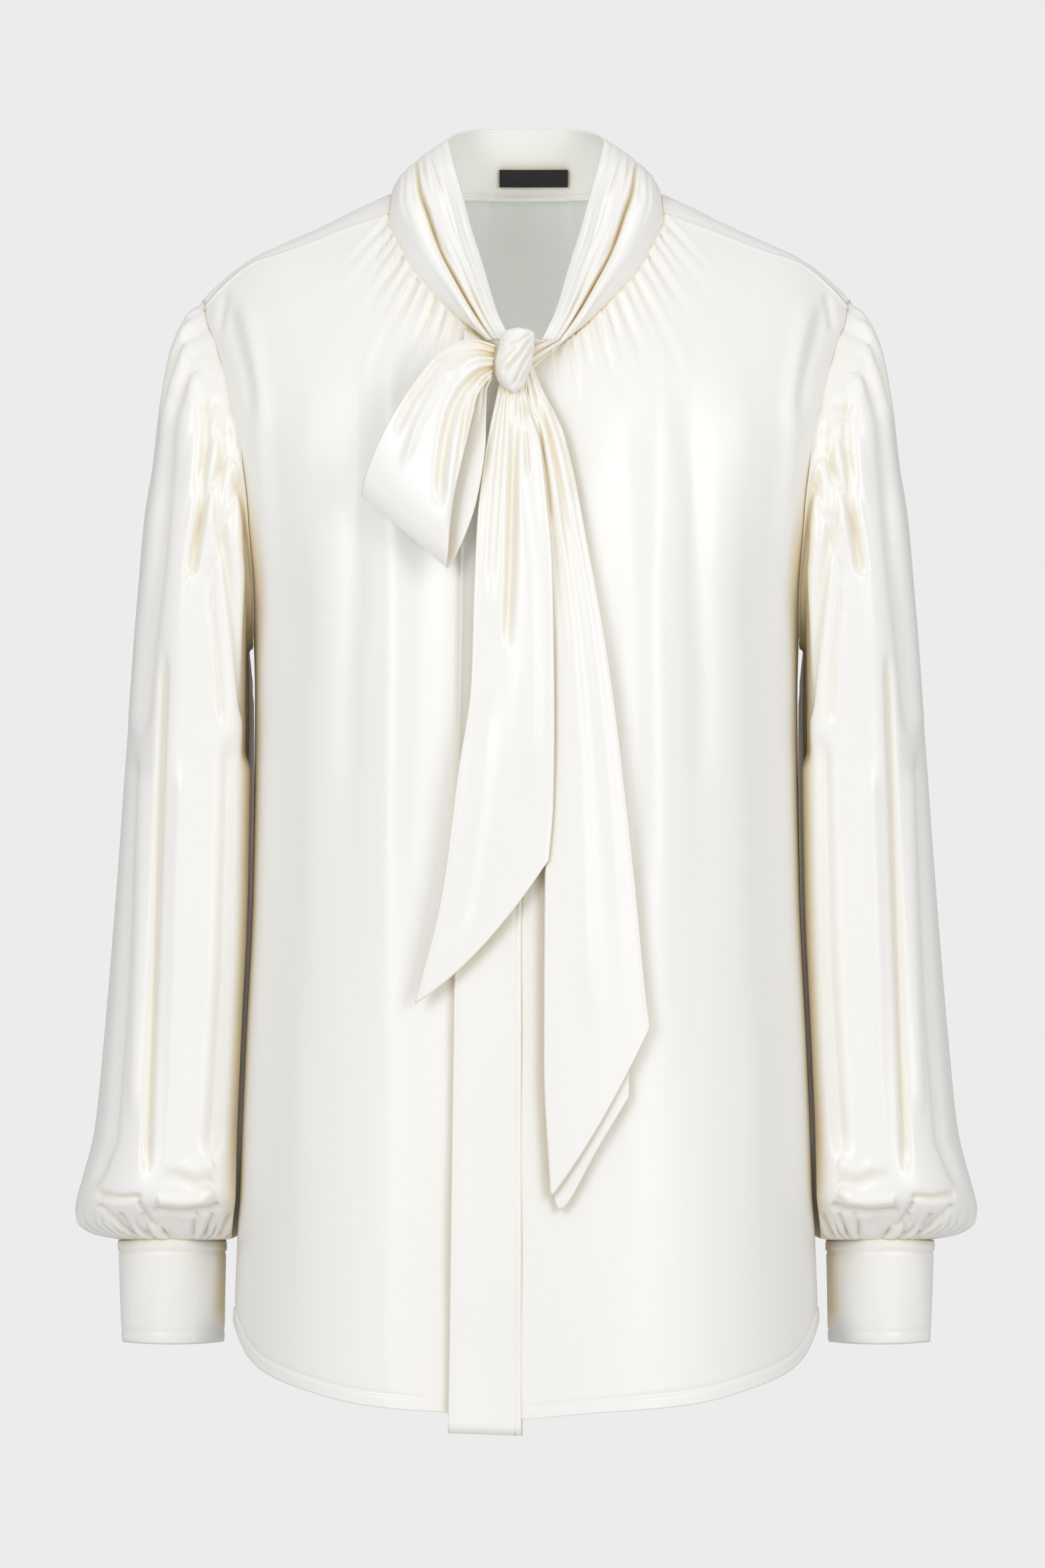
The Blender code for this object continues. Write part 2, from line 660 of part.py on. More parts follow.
def sleeve_seam(keys):
    """The edge sewn into the armhole: beside the panels at the top, over them under the arm."""
    theta, sigma = armhole_loop(keys)
    points, normal = torso(theta, sigma), torso_normal(theta, sigma)
    tangent = unit(np.roll(points, -1, axis=0) - np.roll(points, 1, axis=0))
    away = unit(np.cross(tangent, normal))
    away *= np.sign((away * (points.mean(axis=0) - points)).sum(axis=1, keepdims=True))
    under = ease((np.minimum(keys, 1 - keys) - 0.17) / 0.09)[:, None]
    return points + away * ARMHOLE_GAP + normal * (WALL + ARMHOLE_GAP) * under, normal


def build_sleeve(name, side):
    rows = []
    for w, count in SLEEVE_ROWS:
        keys = np.arange(count) / count
        if w == 0.0:
            outer, normal = sleeve_seam(keys)
        else:
            heights = np.full(count, w)
            normal = -normals_of(sleeve_surface, keys, heights, wraps=True)
            outer = sleeve_surface(keys, heights) + normal * sleeve_lift(keys, heights)[:, None]
            outer = clear_of_torso(outer, SLEEVE_CLEAR + WALL)
        inner = outer - normal * WALL
        if w > 0.0:
            inner = clear_of_torso(inner, SLEEVE_CLEAR)
        for face in (outer, inner):
            face[:, 2] = SLEEVE_END_Z if w == 1.0 else np.maximum(face[:, 2], SLEEVE_END_Z + 0.0002)
        rows.append((keys, mirrored(outer, side), mirrored(inner, side)))
    return wall_object(name, rows, SATIN, closed=True)


# Cuffs and buttons
def cuff_point(turn, z, step):
    share = (CUFF_TOP_Z - z) / (CUFF_TOP_Z - CUFF_HEM_Z)
    radius = mix(CUFF_TOP_RADIUS, CUFF_HEM_RADIUS, share) + step
    angle = CUFF_LAP_START + turn
    x, y = CUFF_X + radius * np.cos(angle), CUFF_Y - radius * np.sin(angle)
    return np.stack([x, y, z + 0 * angle], axis=-1)


def build_cuff(name, side):
    """A deep cuff whose ends lap at the back, where its buttons close it."""
    count = 37
    keys = np.linspace(0, 1, count)
    turn = keys * (2 * np.pi + CUFF_LAP_TURN) - CUFF_LAP_TURN
    under = 1 - ease((turn - 0.02) / 0.45)
    step = -CUFF_LAP_STEP * under
    rows = []
    for z in np.linspace(CUFF_TOP_Z, CUFF_HEM_Z, 3):
        outer = cuff_point(turn, z, step)
        inner = cuff_point(turn, z, step - BAND_WALL)
        rows.append((keys, mirrored(outer, side), mirrored(inner, side)))
    return wall_object(name, rows, SATIN)


def build_button(name, side, z):
    """A turned shell button with a rim and a dished middle, standing on the cuff's lap."""
    turn = -CUFF_LAP_TURN / 2
    seat = cuff_point(np.array(turn + 2 * np.pi), np.array(z), 0.0004)
    outward = unit(cuff_point(np.array(turn + 2 * np.pi), np.array(z), 0.1) - seat)
    up = np.array([0.0, 0.0, 1.0])
    sideways = np.cross(up, outward)
    profile = ((0.0, 0.0), (0.80, 0.0), (1.0, 0.35), (0.92, 1.0), (0.70, 0.80), (0.0, 0.70))
    sides = 16
    points, faces = [], []
    for radius, height in profile[1:-1]:
        for k in range(sides):
            angle = 2 * np.pi * k / sides
            arm = np.cos(angle) * sideways + np.sin(angle) * up
            points.append(seat + arm * radius * BUTTON_RADIUS + outward * height * BUTTON_THICKNESS)
    points.append(seat + outward * profile[0][1] * BUTTON_THICKNESS)
    points.append(seat + outward * profile[-1][1] * BUTTON_THICKNESS)
    bottom, top = len(points) - 2, len(points) - 1
    for k in range(sides):
        after = (k + 1) % sides
        faces.append((bottom, after, k))
        for ring in range(len(profile) - 3):
            a, b = ring * sides, (ring + 1) * sides
            faces.append((a + k, a + after, b + after, b + k))
        last = (len(profile) - 3) * sides
        faces.append((top, last + k, last + after))
    points = [p * np.array([side, 1.0, 1.0]) for p in points]
    return mesh_object(name, points, faces, SHELL_WHITE, roughness=0.2)


# Collar. The band stands at the back and rolls towards the knot in front; the rows go from the centre back.
COLLAR = Table(
    "s turn top_x top_y top_z roll groove",
    (0.00, 0.00, 0.0000, 0.0500, 0.0530, 0.0010, 0.0000),
    (0.12, 0.14, 0.0250, 0.0440, 0.0530, 0.0015, 0.0000),
    (0.24, 0.28, 0.0400, 0.0260, 0.0510, 0.0030, 0.0000),
    (0.34, 0.40, 0.0465, 0.0060, 0.0450, 0.0050, 0.0008),
    (0.44, 0.48, 0.0435, -0.0150, 0.0330, 0.0070, 0.0025),
    (0.54, 0.55, 0.0390, -0.0340, 0.0170, 0.0085, 0.0032),
    (0.66, 0.65, 0.0330, -0.0560, -0.0060, 0.0090, 0.0032),
    (0.78, 0.76, 0.0250, -0.0780, -0.0320, 0.0080, 0.0028),
    (0.90, 0.87, 0.0170, -0.0980, -0.0590, 0.0060, 0.0020),
    (1.00, 0.935, 0.0086, -0.1146, -0.0768, 0.0030, 0.0010),
)
COLLAR_WALL = 0.0020
COLLAR_SEAM_LIFT = 0.0010
COLLAR_HALF_ROWS = 19
COLLAR_COLUMNS = (0.0, 0.16, 0.34, 0.46, 0.53, 0.60, 0.78, 1.0)
GROOVE_AT = 0.53
GROOVE_WIDTH = 0.05


def neck_point(turn):
    return torso(NECKLINE.read("theta", turn), NECKLINE.read("sigma", turn))


def collar_base(t, s):
    """The band between its seam (t 0) and its top edge (t 1)."""
    seam = neck_point(COLLAR.read("turn", s))
    top = np.stack([COLLAR.read(name, s) for name in ("top_x", "top_y", "top_z")], axis=-1)
    centre = np.array([0.0, -0.005, 0.0])
    inward = unit((centre - seam) * np.array([1.0, 1.0, 0.0]))
    seam = seam + inward * COLLAR_SEAM_LIFT + np.array([0.0, 0.0, COLLAR_SEAM_LIFT])
    return mix(seam, top, t[..., None])


def collar_surface(t, s):
    t, s = np.broadcast_arrays(np.asarray(t, float), np.asarray(s, float))
    flat = collar_base(t, s)
    step = 1e-3
    across = collar_base(np.ones_like(t), s) - collar_base(np.zeros_like(t), s)
    ahead = collar_base(t, np.clip(s + step, 0, 1)) - collar_base(t, np.clip(s - step, 0, 1))
    normal = unit(np.cross(across, ahead))
    roll = COLLAR.read("roll", s) * np.sin(np.pi * t) ** 0.8
    groove = COLLAR.read("groove", s) * np.exp(-(((t - GROOVE_AT) / GROOVE_WIDTH) ** 2))
    return flat + normal * (roll - groove)[..., None]


# Where the band on the wearer's left meets the knot: x, z and the distance in front of the chest
BESIDE_KNOT_LOW = (0.0100, -0.0935, 0.0075)
BESIDE_KNOT_HIGH = (0.0078, -0.0745, 0.0150)
BESIDE_KNOT_ROWS = (0.25, 0.50, 0.75, 1.0)
BESIDE_KNOT_RISE = 0.0030


def rows_to_knot(keys, last):
    """The band's free end on the wearer's left, turning down from its last sewn row to the knot."""
    x, z, off = (mix(low, high, keys) for low, high in zip(BESIDE_KNOT_LOW, BESIDE_KNOT_HIGH))
    end = np.stack([x, front_y(x, z) - off, z], axis=-1)
    grid = [last]
    for share in BESIDE_KNOT_ROWS:
        row = mix(last, end, share)
        row[:, 1] -= BESIDE_KNOT_RISE * math.sin(math.pi * min(share + 0.1, 1.0))
        grid.append(row)
    normal = row_normals(np.array(grid))
    return [(keys, row, row - n * COLLAR_WALL) for row, n in zip(grid[1:], normal[1:])]


def build_collar():
    keys = np.array(COLLAR_COLUMNS)
    half = []
    for s in np.linspace(0, 1, COLLAR_HALF_ROWS):
        along = np.full(len(keys), s)
        outer = collar_surface(keys, along)
        normal = normals_of(collar_surface, keys, along)
        if s == 0:
            normal = unit(normal * np.array([0.0, 1.0, 1.0]))
        normal *= np.sign((normal * (outer - np.array([0.0, -0.01, -0.04]))).sum(axis=1, keepdims=True))
        normal[0, 2] = min(normal[0, 2], 0.0)
        half.append((keys, outer, outer - normal * COLLAR_WALL))
    other = [(k, mirrored(o, -1), mirrored(i, -1)) for k, o, i in half[:0:-1]]
    return wall_object("tie_collar", other + half + rows_to_knot(keys, half[-1][1]), SATIN)


# The bow. Places are x and z in front of the chest; "off" is the distance in front of the cloth behind.
KNOT = {"x": -0.0068, "z": -0.0890, "off": 0.0185, "wide": 0.0118, "tall": 0.0190, "deep": 0.0125}
KNOT_LEAN = math.radians(18)
KNOT_PLEATS = 5


def build_knot():
    centre = np.array([KNOT["x"], float(front_y(KNOT["x"], KNOT["z"])) - KNOT["off"], KNOT["z"]])
    rings, sides = 11, 24
    points, faces = [], []
    for i in range(1, rings):
        polar = np.pi * i / rings
        for k in range(sides):
            turn = 2 * np.pi * k / sides
            pleat = 1 + 0.055 * np.cos(KNOT_PLEATS * (turn + 1.1 * polar)) * np.sin(polar)
            x = KNOT["wide"] * signed_power(np.sin(polar), 0.8) * np.cos(turn) * pleat
            y = KNOT["deep"] * signed_power(np.sin(polar), 0.8) * np.sin(turn) * pleat
            z = KNOT["tall"] * signed_power(np.cos(polar), 0.85)
            lean_x = x * math.cos(KNOT_LEAN) + z * math.sin(KNOT_LEAN)
            lean_z = z * math.cos(KNOT_LEAN) - x * math.sin(KNOT_LEAN)
            points.append(centre + np.array([lean_x, y, lean_z]))
    ends = []
    for end in (1, -1):
        z = end * KNOT["tall"]
        ends.append(len(points))
        points.append(centre + np.array([z * math.sin(KNOT_LEAN), 0.0, z * math.cos(KNOT_LEAN)]))
    for k in range(sides):
        after = (k + 1) % sides
        faces.append((ends[0], k, after))
        for ring in range(rings - 2):
            a, b = ring * sides, (ring + 1) * sides
            faces.append((a + k, b + k, b + after, a + after))
        last = (rings - 2) * sides
        faces.append((ends[1], last + after, last + k))
    return mesh_object("tie_knot", points, faces, SATIN)


TAIL_WALL = 0.0012
SHORT_TAIL = Table(
    "v left_x left_z right_x right_z off",
    (0.00, -0.0170, -0.1085, 0.0000, -0.1075, 0.0125),
    (0.10, -0.0240, -0.1420, 0.0078, -0.1370, 0.0125),
    (0.22, -0.0285, -0.1800, 0.0117, -0.1700, 0.0125),
    (0.36, -0.0307, -0.2250, 0.0150, -0.2070, 0.0125),
    (0.52, -0.0325, -0.2800, 0.0161, -0.2530, 0.0115),
    (0.68, -0.0405, -0.3350, 0.0166, -0.3020, 0.0115),
    (0.84, -0.0500, -0.4060, 0.0160, -0.3500, 0.0105),
    (1.00, -0.0660, -0.4705, 0.0133, -0.3850, 0.0095),
)
LONG_TAIL = Table(
    "v left_x left_z right_x right_z back_x back_z off",
    (0.00, -0.0040, -0.1075, 0.0085, -0.1026, 0.0050, -0.1050, 0.0074),
    (0.08, 0.0030, -0.1450, 0.0225, -0.1320, 0.0160, -0.1360, 0.0070),
    (0.20, 0.0080, -0.2000, 0.0360, -0.1950, 0.0280, -0.2010, 0.0064),
    (0.36, 0.0110, -0.2700, 0.0500, -0.2750, 0.0400, -0.2850, 0.0064),
    (0.52, 0.0130, -0.3450, 0.0590, -0.3480, 0.0490, -0.3580, 0.0064),
    (0.68, 0.0124, -0.4250, 0.0655, -0.4080, 0.0560, -0.4200, 0.0064),
    (0.85, 0.0121, -0.5050, 0.0705, -0.4600, 0.0610, -0.4800, 0.0064),
    (1.00, 0.0160, -0.5840, 0.0735, -0.4840, 0.0612, -0.5250, 0.0064),
)
LONG_TIP = Table("t dz", (0.0, 0.0), (0.06, -0.0125), (0.16, -0.0160), (0.55, -0.0075), (1.0, 0.0))


def tail_layer(table, keys, heights, left, right, end_bow, tip=None):
    """x and z of one flat layer of a tail, between two edges of its table."""
    t, v = keys[None, :], heights[:, None]
    x = mix(table.read(left + "_x", v), table.read(right + "_x", v), t)
    z = mix(table.read(left + "_z", v), table.read(right + "_z", v), t)
    z = z - end_bow * 4 * t * (1 - t) * v**6
    if tip is not None:
        z = z + tip.read("dz", t) * ease((v - 0.75) / 0.25)
    return x, z


def pleat_wave(t, v, count, height, reach):
    return height * np.cos(2 * np.pi * count * t + 0.6) * np.exp(-((v / reach) ** 2))


def build_short_tail():
    keys = np.linspace(0, 1, 11)
    heights = np.array([0, 0.03, 0.07, 0.12, 0.18, 0.25, 0.34, 0.44, 0.55, 0.66, 0.77, 0.87, 0.95, 1.0])
    x, z = tail_layer(SHORT_TAIL, keys, heights, "left", "right", 0.009)
    off = SHORT_TAIL.read("off", heights)[:, None]
    wave = pleat_wave(keys[None, :], heights[:, None], 2.5, 0.0020, 0.42)
    crease = 0.0016 * np.exp(-(((keys[None, :] - 0.62) / 0.14) ** 2)) * ease((1 - heights[:, None]) / 0.2)
    outer = np.stack([x, front_y(x, z) - off - wave - crease, z], axis=-1)
    inner = outer - row_normals(outer) * TAIL_WALL
    rows = [(keys, o, i) for o, i in zip(outer, inner)]
    return wall_object("tie_tail_short", rows, SATIN)


def build_long_tail():
    """Folded along its left edge, so that a second layer shows below the slanted end."""
    front_keys, back_keys = np.linspace(0, 1, 8), np.linspace(0, 1, 6)
    heights = np.array([0, 0.03, 0.07, 0.12, 0.19, 0.28, 0.38, 0.49, 0.60, 0.71, 0.81, 0.90, 0.96, 1.0])
    x_front, z_front = tail_layer(LONG_TAIL, front_keys, heights, "left", "right", 0.006)
    x_back, z_back = tail_layer(LONG_TAIL, back_keys, heights, "left", "back", 0.0, LONG_TIP)
    off = LONG_TAIL.read("off", heights)[:, None]
    wave = pleat_wave(front_keys[None, :], heights[:, None], 2.0, 0.0014, 0.30)
    front = np.stack([x_front, front_y(x_front, z_front) - off - 0.0012 - np.abs(wave), z_front], axis=-1)
    back = np.stack([x_back + 0.0004, front_y(x_back, z_back) - off + 0.0014, z_back], axis=-1)
    fold = 0.5 * (front[:, :1] + back[:, :1]) - np.array([0.0012, 0.0, 0.0])
    front_in = front - row_normals(front) * TAIL_WALL
    back_in = back + row_normals(back) * TAIL_WALL * 0.9
    fold_in = fold + np.array([0.0011, 0.0, 0.0])
    outer = np.concatenate([front[:, ::-1], fold, back], axis=1)
    inner = np.concatenate([front_in[:, ::-1], fold_in, back_in], axis=1)
    keys = np.linspace(0, 1, outer.shape[1])
    rows = [(keys, o, i) for o, i in zip(outer, inner)]
    return wall_object("tie_tail_long", rows, SATIN)


# The loop is one strip: out along the front layer, round the turn, and back to the knot behind.
LOOP = Table(
    "s a_x a_z b_x b_z off",
    (0.00, -0.0184, -0.0800, -0.0206, -0.0970, 0.0212),
    (0.06, -0.0330, -0.0760, -0.0260, -0.1030, 0.0270),
    (0.14, -0.0500, -0.0830, -0.0300, -0.1130, 0.0300),
    (0.24, -0.0690, -0.1050, -0.0380, -0.1450, 0.0310),
    (0.34, -0.0860, -0.1330, -0.0440, -0.1780, 0.0290),
    (0.43, -0.0965, -0.1600, -0.0465, -0.2020, 0.0245),
    (0.475, -0.0980, -0.1690, -0.0475, -0.2110, 0.0185),
    (0.52, -0.0965, -0.1670, -0.0465, -0.2120, 0.0150),
    (0.60, -0.0890, -0.1480, -0.0400, -0.2010, 0.0145),
    (0.72, -0.0720, -0.1180, -0.0290, -0.1700, 0.0155),
    (0.84, -0.0500, -0.0930, -0.0240, -0.1330, 0.0172),
    (0.93, -0.0330, -0.0850, -0.0240, -0.1080, 0.0178),
    (1.00, -0.0220, -0.0850, -0.0210, -0.0990, 0.0184),
)


LOOP_ROWS = (
    *(0, 0.04, 0.09, 0.15, 0.22, 0.29, 0.36, 0.41, 0.45),
    *(0.475, 0.50, 0.53, 0.58, 0.65, 0.73, 0.81, 0.89, 0.95, 1.0),
)


def build_loop():
    keys = np.linspace(0, 1, 10)
    heights = np.array(LOOP_ROWS)
    t, s = keys[None, :], heights[:, None]
    x = mix(LOOP.read("a_x", s), LOOP.read("b_x", s), t)
    z = mix(LOOP.read("a_z", s), LOOP.read("b_z", s), t)
    near_knot = np.exp(-((np.minimum(s, 1 - s) / 0.16) ** 2))
    pleats = 0.0019 * np.cos(2 * np.pi * 2.0 * t) * near_knot
    y = front_y(x, z) - LOOP.read("off", s) - np.where(s < 0.47, pleats, -0.5 * pleats)
    outer = np.stack([x, y, z], axis=-1)
    down, over = np.gradient(outer, axis=0), np.gradient(outer, axis=1)
    normal = unit(np.cross(down, over))
    if normal[0, 4] @ np.array([0.0, -1.0, 0.0]) < 0:
        normal = -normal
    inner = outer - normal * TAIL_WALL
    rows = [(keys, o, i) for o, i in zip(outer, inner)]
    return wall_object("tie_loop", rows, SATIN)


# Label on the inside of the collar stand
LABEL = {"x": 0.0045, "wide": 0.0410, "top_z": 0.0290, "low_z": 0.0185, "thick": 0.0010}


def collar_inside(x, z):
    """The inner face of the stand near the centre back."""
    s = np.interp(x, [0.0, 0.0270], [0.0, 0.12])
    t = (z - 0.0127) / (0.0530 - 0.0127)
    return collar_surface(t, s)[..., 1] - COLLAR_WALL


def build_label():
    keys = np.linspace(0, 1, 7)
    x = LABEL["x"] + LABEL["wide"] * (keys - 0.5)
    rows = []
    for z in (LABEL["top_z"], LABEL["low_z"]):
        seat = collar_inside(np.abs(x), np.full(len(x), z)) - 0.0003
        outer = np.stack([x, seat - LABEL["thick"], np.full(len(x), z)], axis=-1)
        inner = np.stack([x, seat, np.full(len(x), z)], axis=-1)
        rows.append((keys, outer, inner))
    return wall_object("neck_label", rows, LABEL_BLACK, roughness=0.8)


def clear_scene():
    for obj in list(bpy.data.objects):
        bpy.data.objects.remove(obj, do_unlink=True)


def main():
    clear_scene()
    build_front("right_front", -1, RIGHT_FRONT_EDGE_X)
    build_front("left_front", 1, LEFT_FRONT_EDGE_X)
    build_placket()
    build_back()
    for name, side in (("right", -1), ("left", 1)):
        build_sleeve(name + "_sleeve", side)
        build_cuff(name + "_cuff", side)
        for number, share in enumerate((0.28, 0.72), start=1):
            build_button(f"{name}_cuff_button_{number}", side, mix(CUFF_TOP_Z, CUFF_HEM_Z, share))
    build_collar()
    build_knot()
    build_loop()
    build_short_tail()
    build_long_tail()
    build_label()


main()
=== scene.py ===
# %% [markdown]
# # Tie neck blouse in silk satin
# This lesson dresses a plain solid model of a blouse with thin cloth, folds and stitches.
# Every cloth piece is made from one torso form, so that neighbours meet at their seams.

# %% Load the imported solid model
import math

import bmesh
import bpy
import numpy as np
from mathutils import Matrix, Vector


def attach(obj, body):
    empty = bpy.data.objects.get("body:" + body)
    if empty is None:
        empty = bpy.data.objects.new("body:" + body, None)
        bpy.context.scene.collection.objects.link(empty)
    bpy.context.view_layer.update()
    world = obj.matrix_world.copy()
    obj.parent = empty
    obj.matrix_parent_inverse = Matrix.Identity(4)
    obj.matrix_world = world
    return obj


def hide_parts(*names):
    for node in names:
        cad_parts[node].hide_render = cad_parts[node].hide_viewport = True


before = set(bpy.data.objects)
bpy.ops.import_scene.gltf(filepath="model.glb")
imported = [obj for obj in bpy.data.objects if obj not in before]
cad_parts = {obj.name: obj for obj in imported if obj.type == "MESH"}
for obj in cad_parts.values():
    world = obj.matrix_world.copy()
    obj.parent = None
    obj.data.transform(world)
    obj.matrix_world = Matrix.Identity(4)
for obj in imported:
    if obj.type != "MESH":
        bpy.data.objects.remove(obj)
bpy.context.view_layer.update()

# %% [markdown]
# ## Short tables and smooth steps
# A table has named columns and one row for each section. A smooth curve that never overshoots joins
# its rows, so a handful of measured sizes is enough to give a whole form.

# %% Tables, smooth steps and vectors
class Table:
    def __init__(self, names, *rows):
        self.names = names.split()
        self.rows = np.array(rows, float)

    def read(self, name, at, key=None):
        keys = self.rows[:, self.names.index(key) if key else 0]
        values = self.rows[:, self.names.index(name)]
        at = np.clip(np.asarray(at, float), keys[0], keys[-1])
        widths = np.diff(keys)
        slopes = np.diff(values) / widths
        tangents = np.zeros(len(keys))
        same_way = slopes[:-1] * slopes[1:] > 0
        harmonic = 2 * slopes[:-1] * slopes[1:] / np.where(same_way, slopes[:-1] + slopes[1:], 1)
        tangents[1:-1] = np.where(same_way, harmonic, 0)
        tangents[0], tangents[-1] = slopes[0], slopes[-1]
        place = np.clip(np.searchsorted(keys, at, side="right") - 1, 0, len(widths) - 1)
        width = widths[place]
        t = (at - keys[place]) / width
        start = (1 + 2 * t) * (1 - t) ** 2 * values[place] + t * (1 - t) ** 2 * width * tangents[place]
        end = t * t * (3 - 2 * t) * values[place + 1] + t * t * (t - 1) * width * tangents[place + 1]
        return start + end


def ease(t):
    t = np.clip(t, 0, 1)
    return t * t * (3 - 2 * t)


def mix(a, b, t):
    return a + (b - a) * t


def bell(distance, width):
    return np.exp(-((distance / width) ** 2))


def unit(vectors):
    return vectors / np.maximum(np.linalg.norm(vectors, axis=-1, keepdims=True), 1e-12)


def signed_power(value, power):
    return np.sign(value) * np.abs(value) ** power


# %% [markdown]
# ## The torso form
# Two numbers name a place on the body: theta turns from the centre line to the side, and sigma is the
# way over the cloth from the shoulder ridge, negative down the front and positive down the back.

# %% The torso form
RIDGE_Z, RIDGE_Y = 0.0136, 0.0050
SQUARENESS = 2.3
SLOPE_ENDS_AT = 0.28
PROFILE = Table(
    "along drop front back",
    (0.000, 0.000, 0.000, 0.000),
    (0.015, 0.002, 0.015, 0.015),
    (0.030, 0.007, 0.029, 0.029),
    (0.050, 0.018, 0.046, 0.046),
    (0.080, 0.038, 0.068, 0.066),
    (0.120, 0.070, 0.091, 0.087),
    (0.160, 0.106, 0.107, 0.102),
    (0.210, 0.154, 0.121, 0.113),
    (0.270, 0.213, 0.130, 0.119),
    (0.340, 0.283, 0.134, 0.119),
    (0.460, 0.403, 0.136, 0.114),
    (0.570, 0.513, 0.138, 0.113),
    (0.670, 0.613, 0.140, 0.116),
    (0.830, 0.773, 0.142, 0.121),
)
WIDTHS = Table(
    "drop half",
    (0.000, 0.1940),
    (0.020, 0.1975),
    (0.070, 0.1965),
    (0.125, 0.1900),
    (0.180, 0.1785),
    (0.255, 0.1640),
    (0.300, 0.1625),
    (0.413, 0.1640),
    (0.513, 0.1685),
    (0.613, 0.1725),
    (0.675, 0.1750),
    (0.773, 0.1785),
)
SHOULDER_SLOPE = Table(
    "x fall",
    (0.000, -0.0240),
    (0.030, -0.0195),
    (0.058, -0.0110),
    (0.082, 0.0000),
    (0.096, 0.0066),
    (0.129, 0.0226),
    (0.163, 0.0381),
    (0.184, 0.0536),
    (0.194, 0.0636),
    (0.200, 0.0690),
)


def slope_share(drop):
    return 1 - ease(drop / SLOPE_ENDS_AT)


def torso(theta, sigma):
    theta, sigma = np.broadcast_arrays(np.asarray(theta, float), np.asarray(sigma, float))
    along = np.abs(sigma)
    drop = PROFILE.read("drop", along)
    across = signed_power(np.sin(theta), 2 / SQUARENESS)
    reach = signed_power(np.cos(theta), 2 / SQUARENESS)
    depth = np.where(sigma < 0, -PROFILE.read("front", along), PROFILE.read("back", along))
    x = WIDTHS.read("half", drop) * across
    sloped = SHOULDER_SLOPE.read("fall", np.abs(x)) * slope_share(drop)
    return np.stack([x, RIDGE_Y + depth * reach, RIDGE_Z - drop - sloped], axis=-1)


def torso_normal(theta, sigma, step=1e-4):
    across = torso(theta + step, sigma) - torso(theta - step, sigma)
    along = torso(theta, sigma + step) - torso(theta, sigma - step)
    return unit(np.cross(across, along))


def drop_at(x, z):
    fall = SHOULDER_SLOPE.read("fall", np.abs(x))
    drop = np.clip(RIDGE_Z - z, 0, None)
    for _ in range(14):
        drop = np.clip(RIDGE_Z - z - fall * slope_share(drop), 0, None)
    return drop


def place(x, z, face):
    x, z = np.broadcast_arrays(np.asarray(x, float), np.asarray(z, float))
    drop = drop_at(x, z)
    ratio = np.clip(np.abs(x) / WIDTHS.read("half", drop), 0, 1)
    theta = np.sign(x) * np.arcsin(ratio ** (SQUARENESS / 2))
    return theta, face * PROFILE.read("along", drop, key="drop")


def front_y(x, z):
    return torso(*place(x, z, -1))[..., 1]


print("front of the chest at y", float(front_y(0.0, -0.2)))

# %% [markdown]
# ## The edges of the panels
# The neckline, the shoulder seam, the armhole and the shirt-tail hem are curves on the torso form.

# %% Edges of the panels
UNDERARM_ALONG, SHOULDER_END_ALONG = 0.327, 0.030
ARMHOLE_CUT = {"front": 0.095, "back": 0.115}
LEFT_FRONT_EDGE_X, RIGHT_FRONT_EDGE_X = -0.0035, 0.0060
NECK_SIDE = 0.50
NECK_ROWS = (
    (0.00, 0.0000, 0.0120, 1),
    (0.12, 0.0250, 0.0121, 1),
    (0.25, 0.0520, 0.0125, 1),
    (0.36, 0.0750, 0.0132, 1),
    (0.42, 0.0815, 0.0136, 1),
    (0.50, 0.0826, 0.0000, -1),
    (0.60, 0.0765, -0.0170, -1),
    (0.70, 0.0680, -0.0330, -1),
    (0.80, 0.0530, -0.0500, -1),
    (0.89, 0.0350, -0.0680, -1),
    (0.96, 0.0180, -0.0800, -1),
    (1.00, 0.0020, -0.0870, -1),
)
SEAM_ROWS = (
    (0.00, 0.0826, 0.0000, -1),
    (0.35, 0.1180, -0.0125, -1),
    (0.60, 0.1450, -0.0225, -1),
    (0.80, 0.1680, -0.0315, -1),
)
FRONT_HEM = Table(
    "x z",
    (0.000, -0.7170),
    (0.048, -0.7130),
    (0.073, -0.7115),
    (0.103, -0.7080),
    (0.133, -0.7000),
    (0.155, -0.6910),
    (0.166, -0.6810),
    (0.174, -0.6640),
    (0.176, -0.6560),
)


def armhole_theta(sigma):
    sigma = np.asarray(sigma, float)
    share = np.clip(np.abs(sigma) / UNDERARM_ALONG, 0, 1)
    cut = np.where(sigma < 0, ARMHOLE_CUT["front"], ARMHOLE_CUT["back"])
    across = 1 - cut * np.clip(np.sin(np.pi * share), 0, 1) ** 1.4
    return np.arcsin(across ** (SQUARENESS / 2))


def placed_rows(rows):
    return [(turn, *(float(v) for v in place(x, z, face))) for turn, x, z, face in rows]


NECKLINE = Table("turn theta sigma", *placed_rows(NECK_ROWS))
SHOULDER_SEAM = Table(
    "turn theta sigma",
    *placed_rows(SEAM_ROWS),
    (1.0, float(armhole_theta(-SHOULDER_END_ALONG)), -SHOULDER_END_ALONG),
)


def hem_curve(theta, face):
    sigma = np.full(np.shape(theta), face * 0.77)
    for _ in range(6):
        x = np.abs(torso(theta, sigma)[..., 0])
        sigma = face * PROFILE.read("along", RIDGE_Z - FRONT_HEM.read("z", x), key="drop")
    return sigma


def top_edge(u, turn_at_centre, share):
    turn = mix(turn_at_centre, NECK_SIDE, np.clip(u / share, 0, 1))
    seam = np.clip((u - share) / (1 - share), 0, 1)
    theta = np.where(u < share, NECKLINE.read("theta", turn), SHOULDER_SEAM.read("theta", seam))
    sigma = np.where(u < share, NECKLINE.read("sigma", turn), SHOULDER_SEAM.read("sigma", seam))
    return np.stack([theta, sigma], axis=-1)


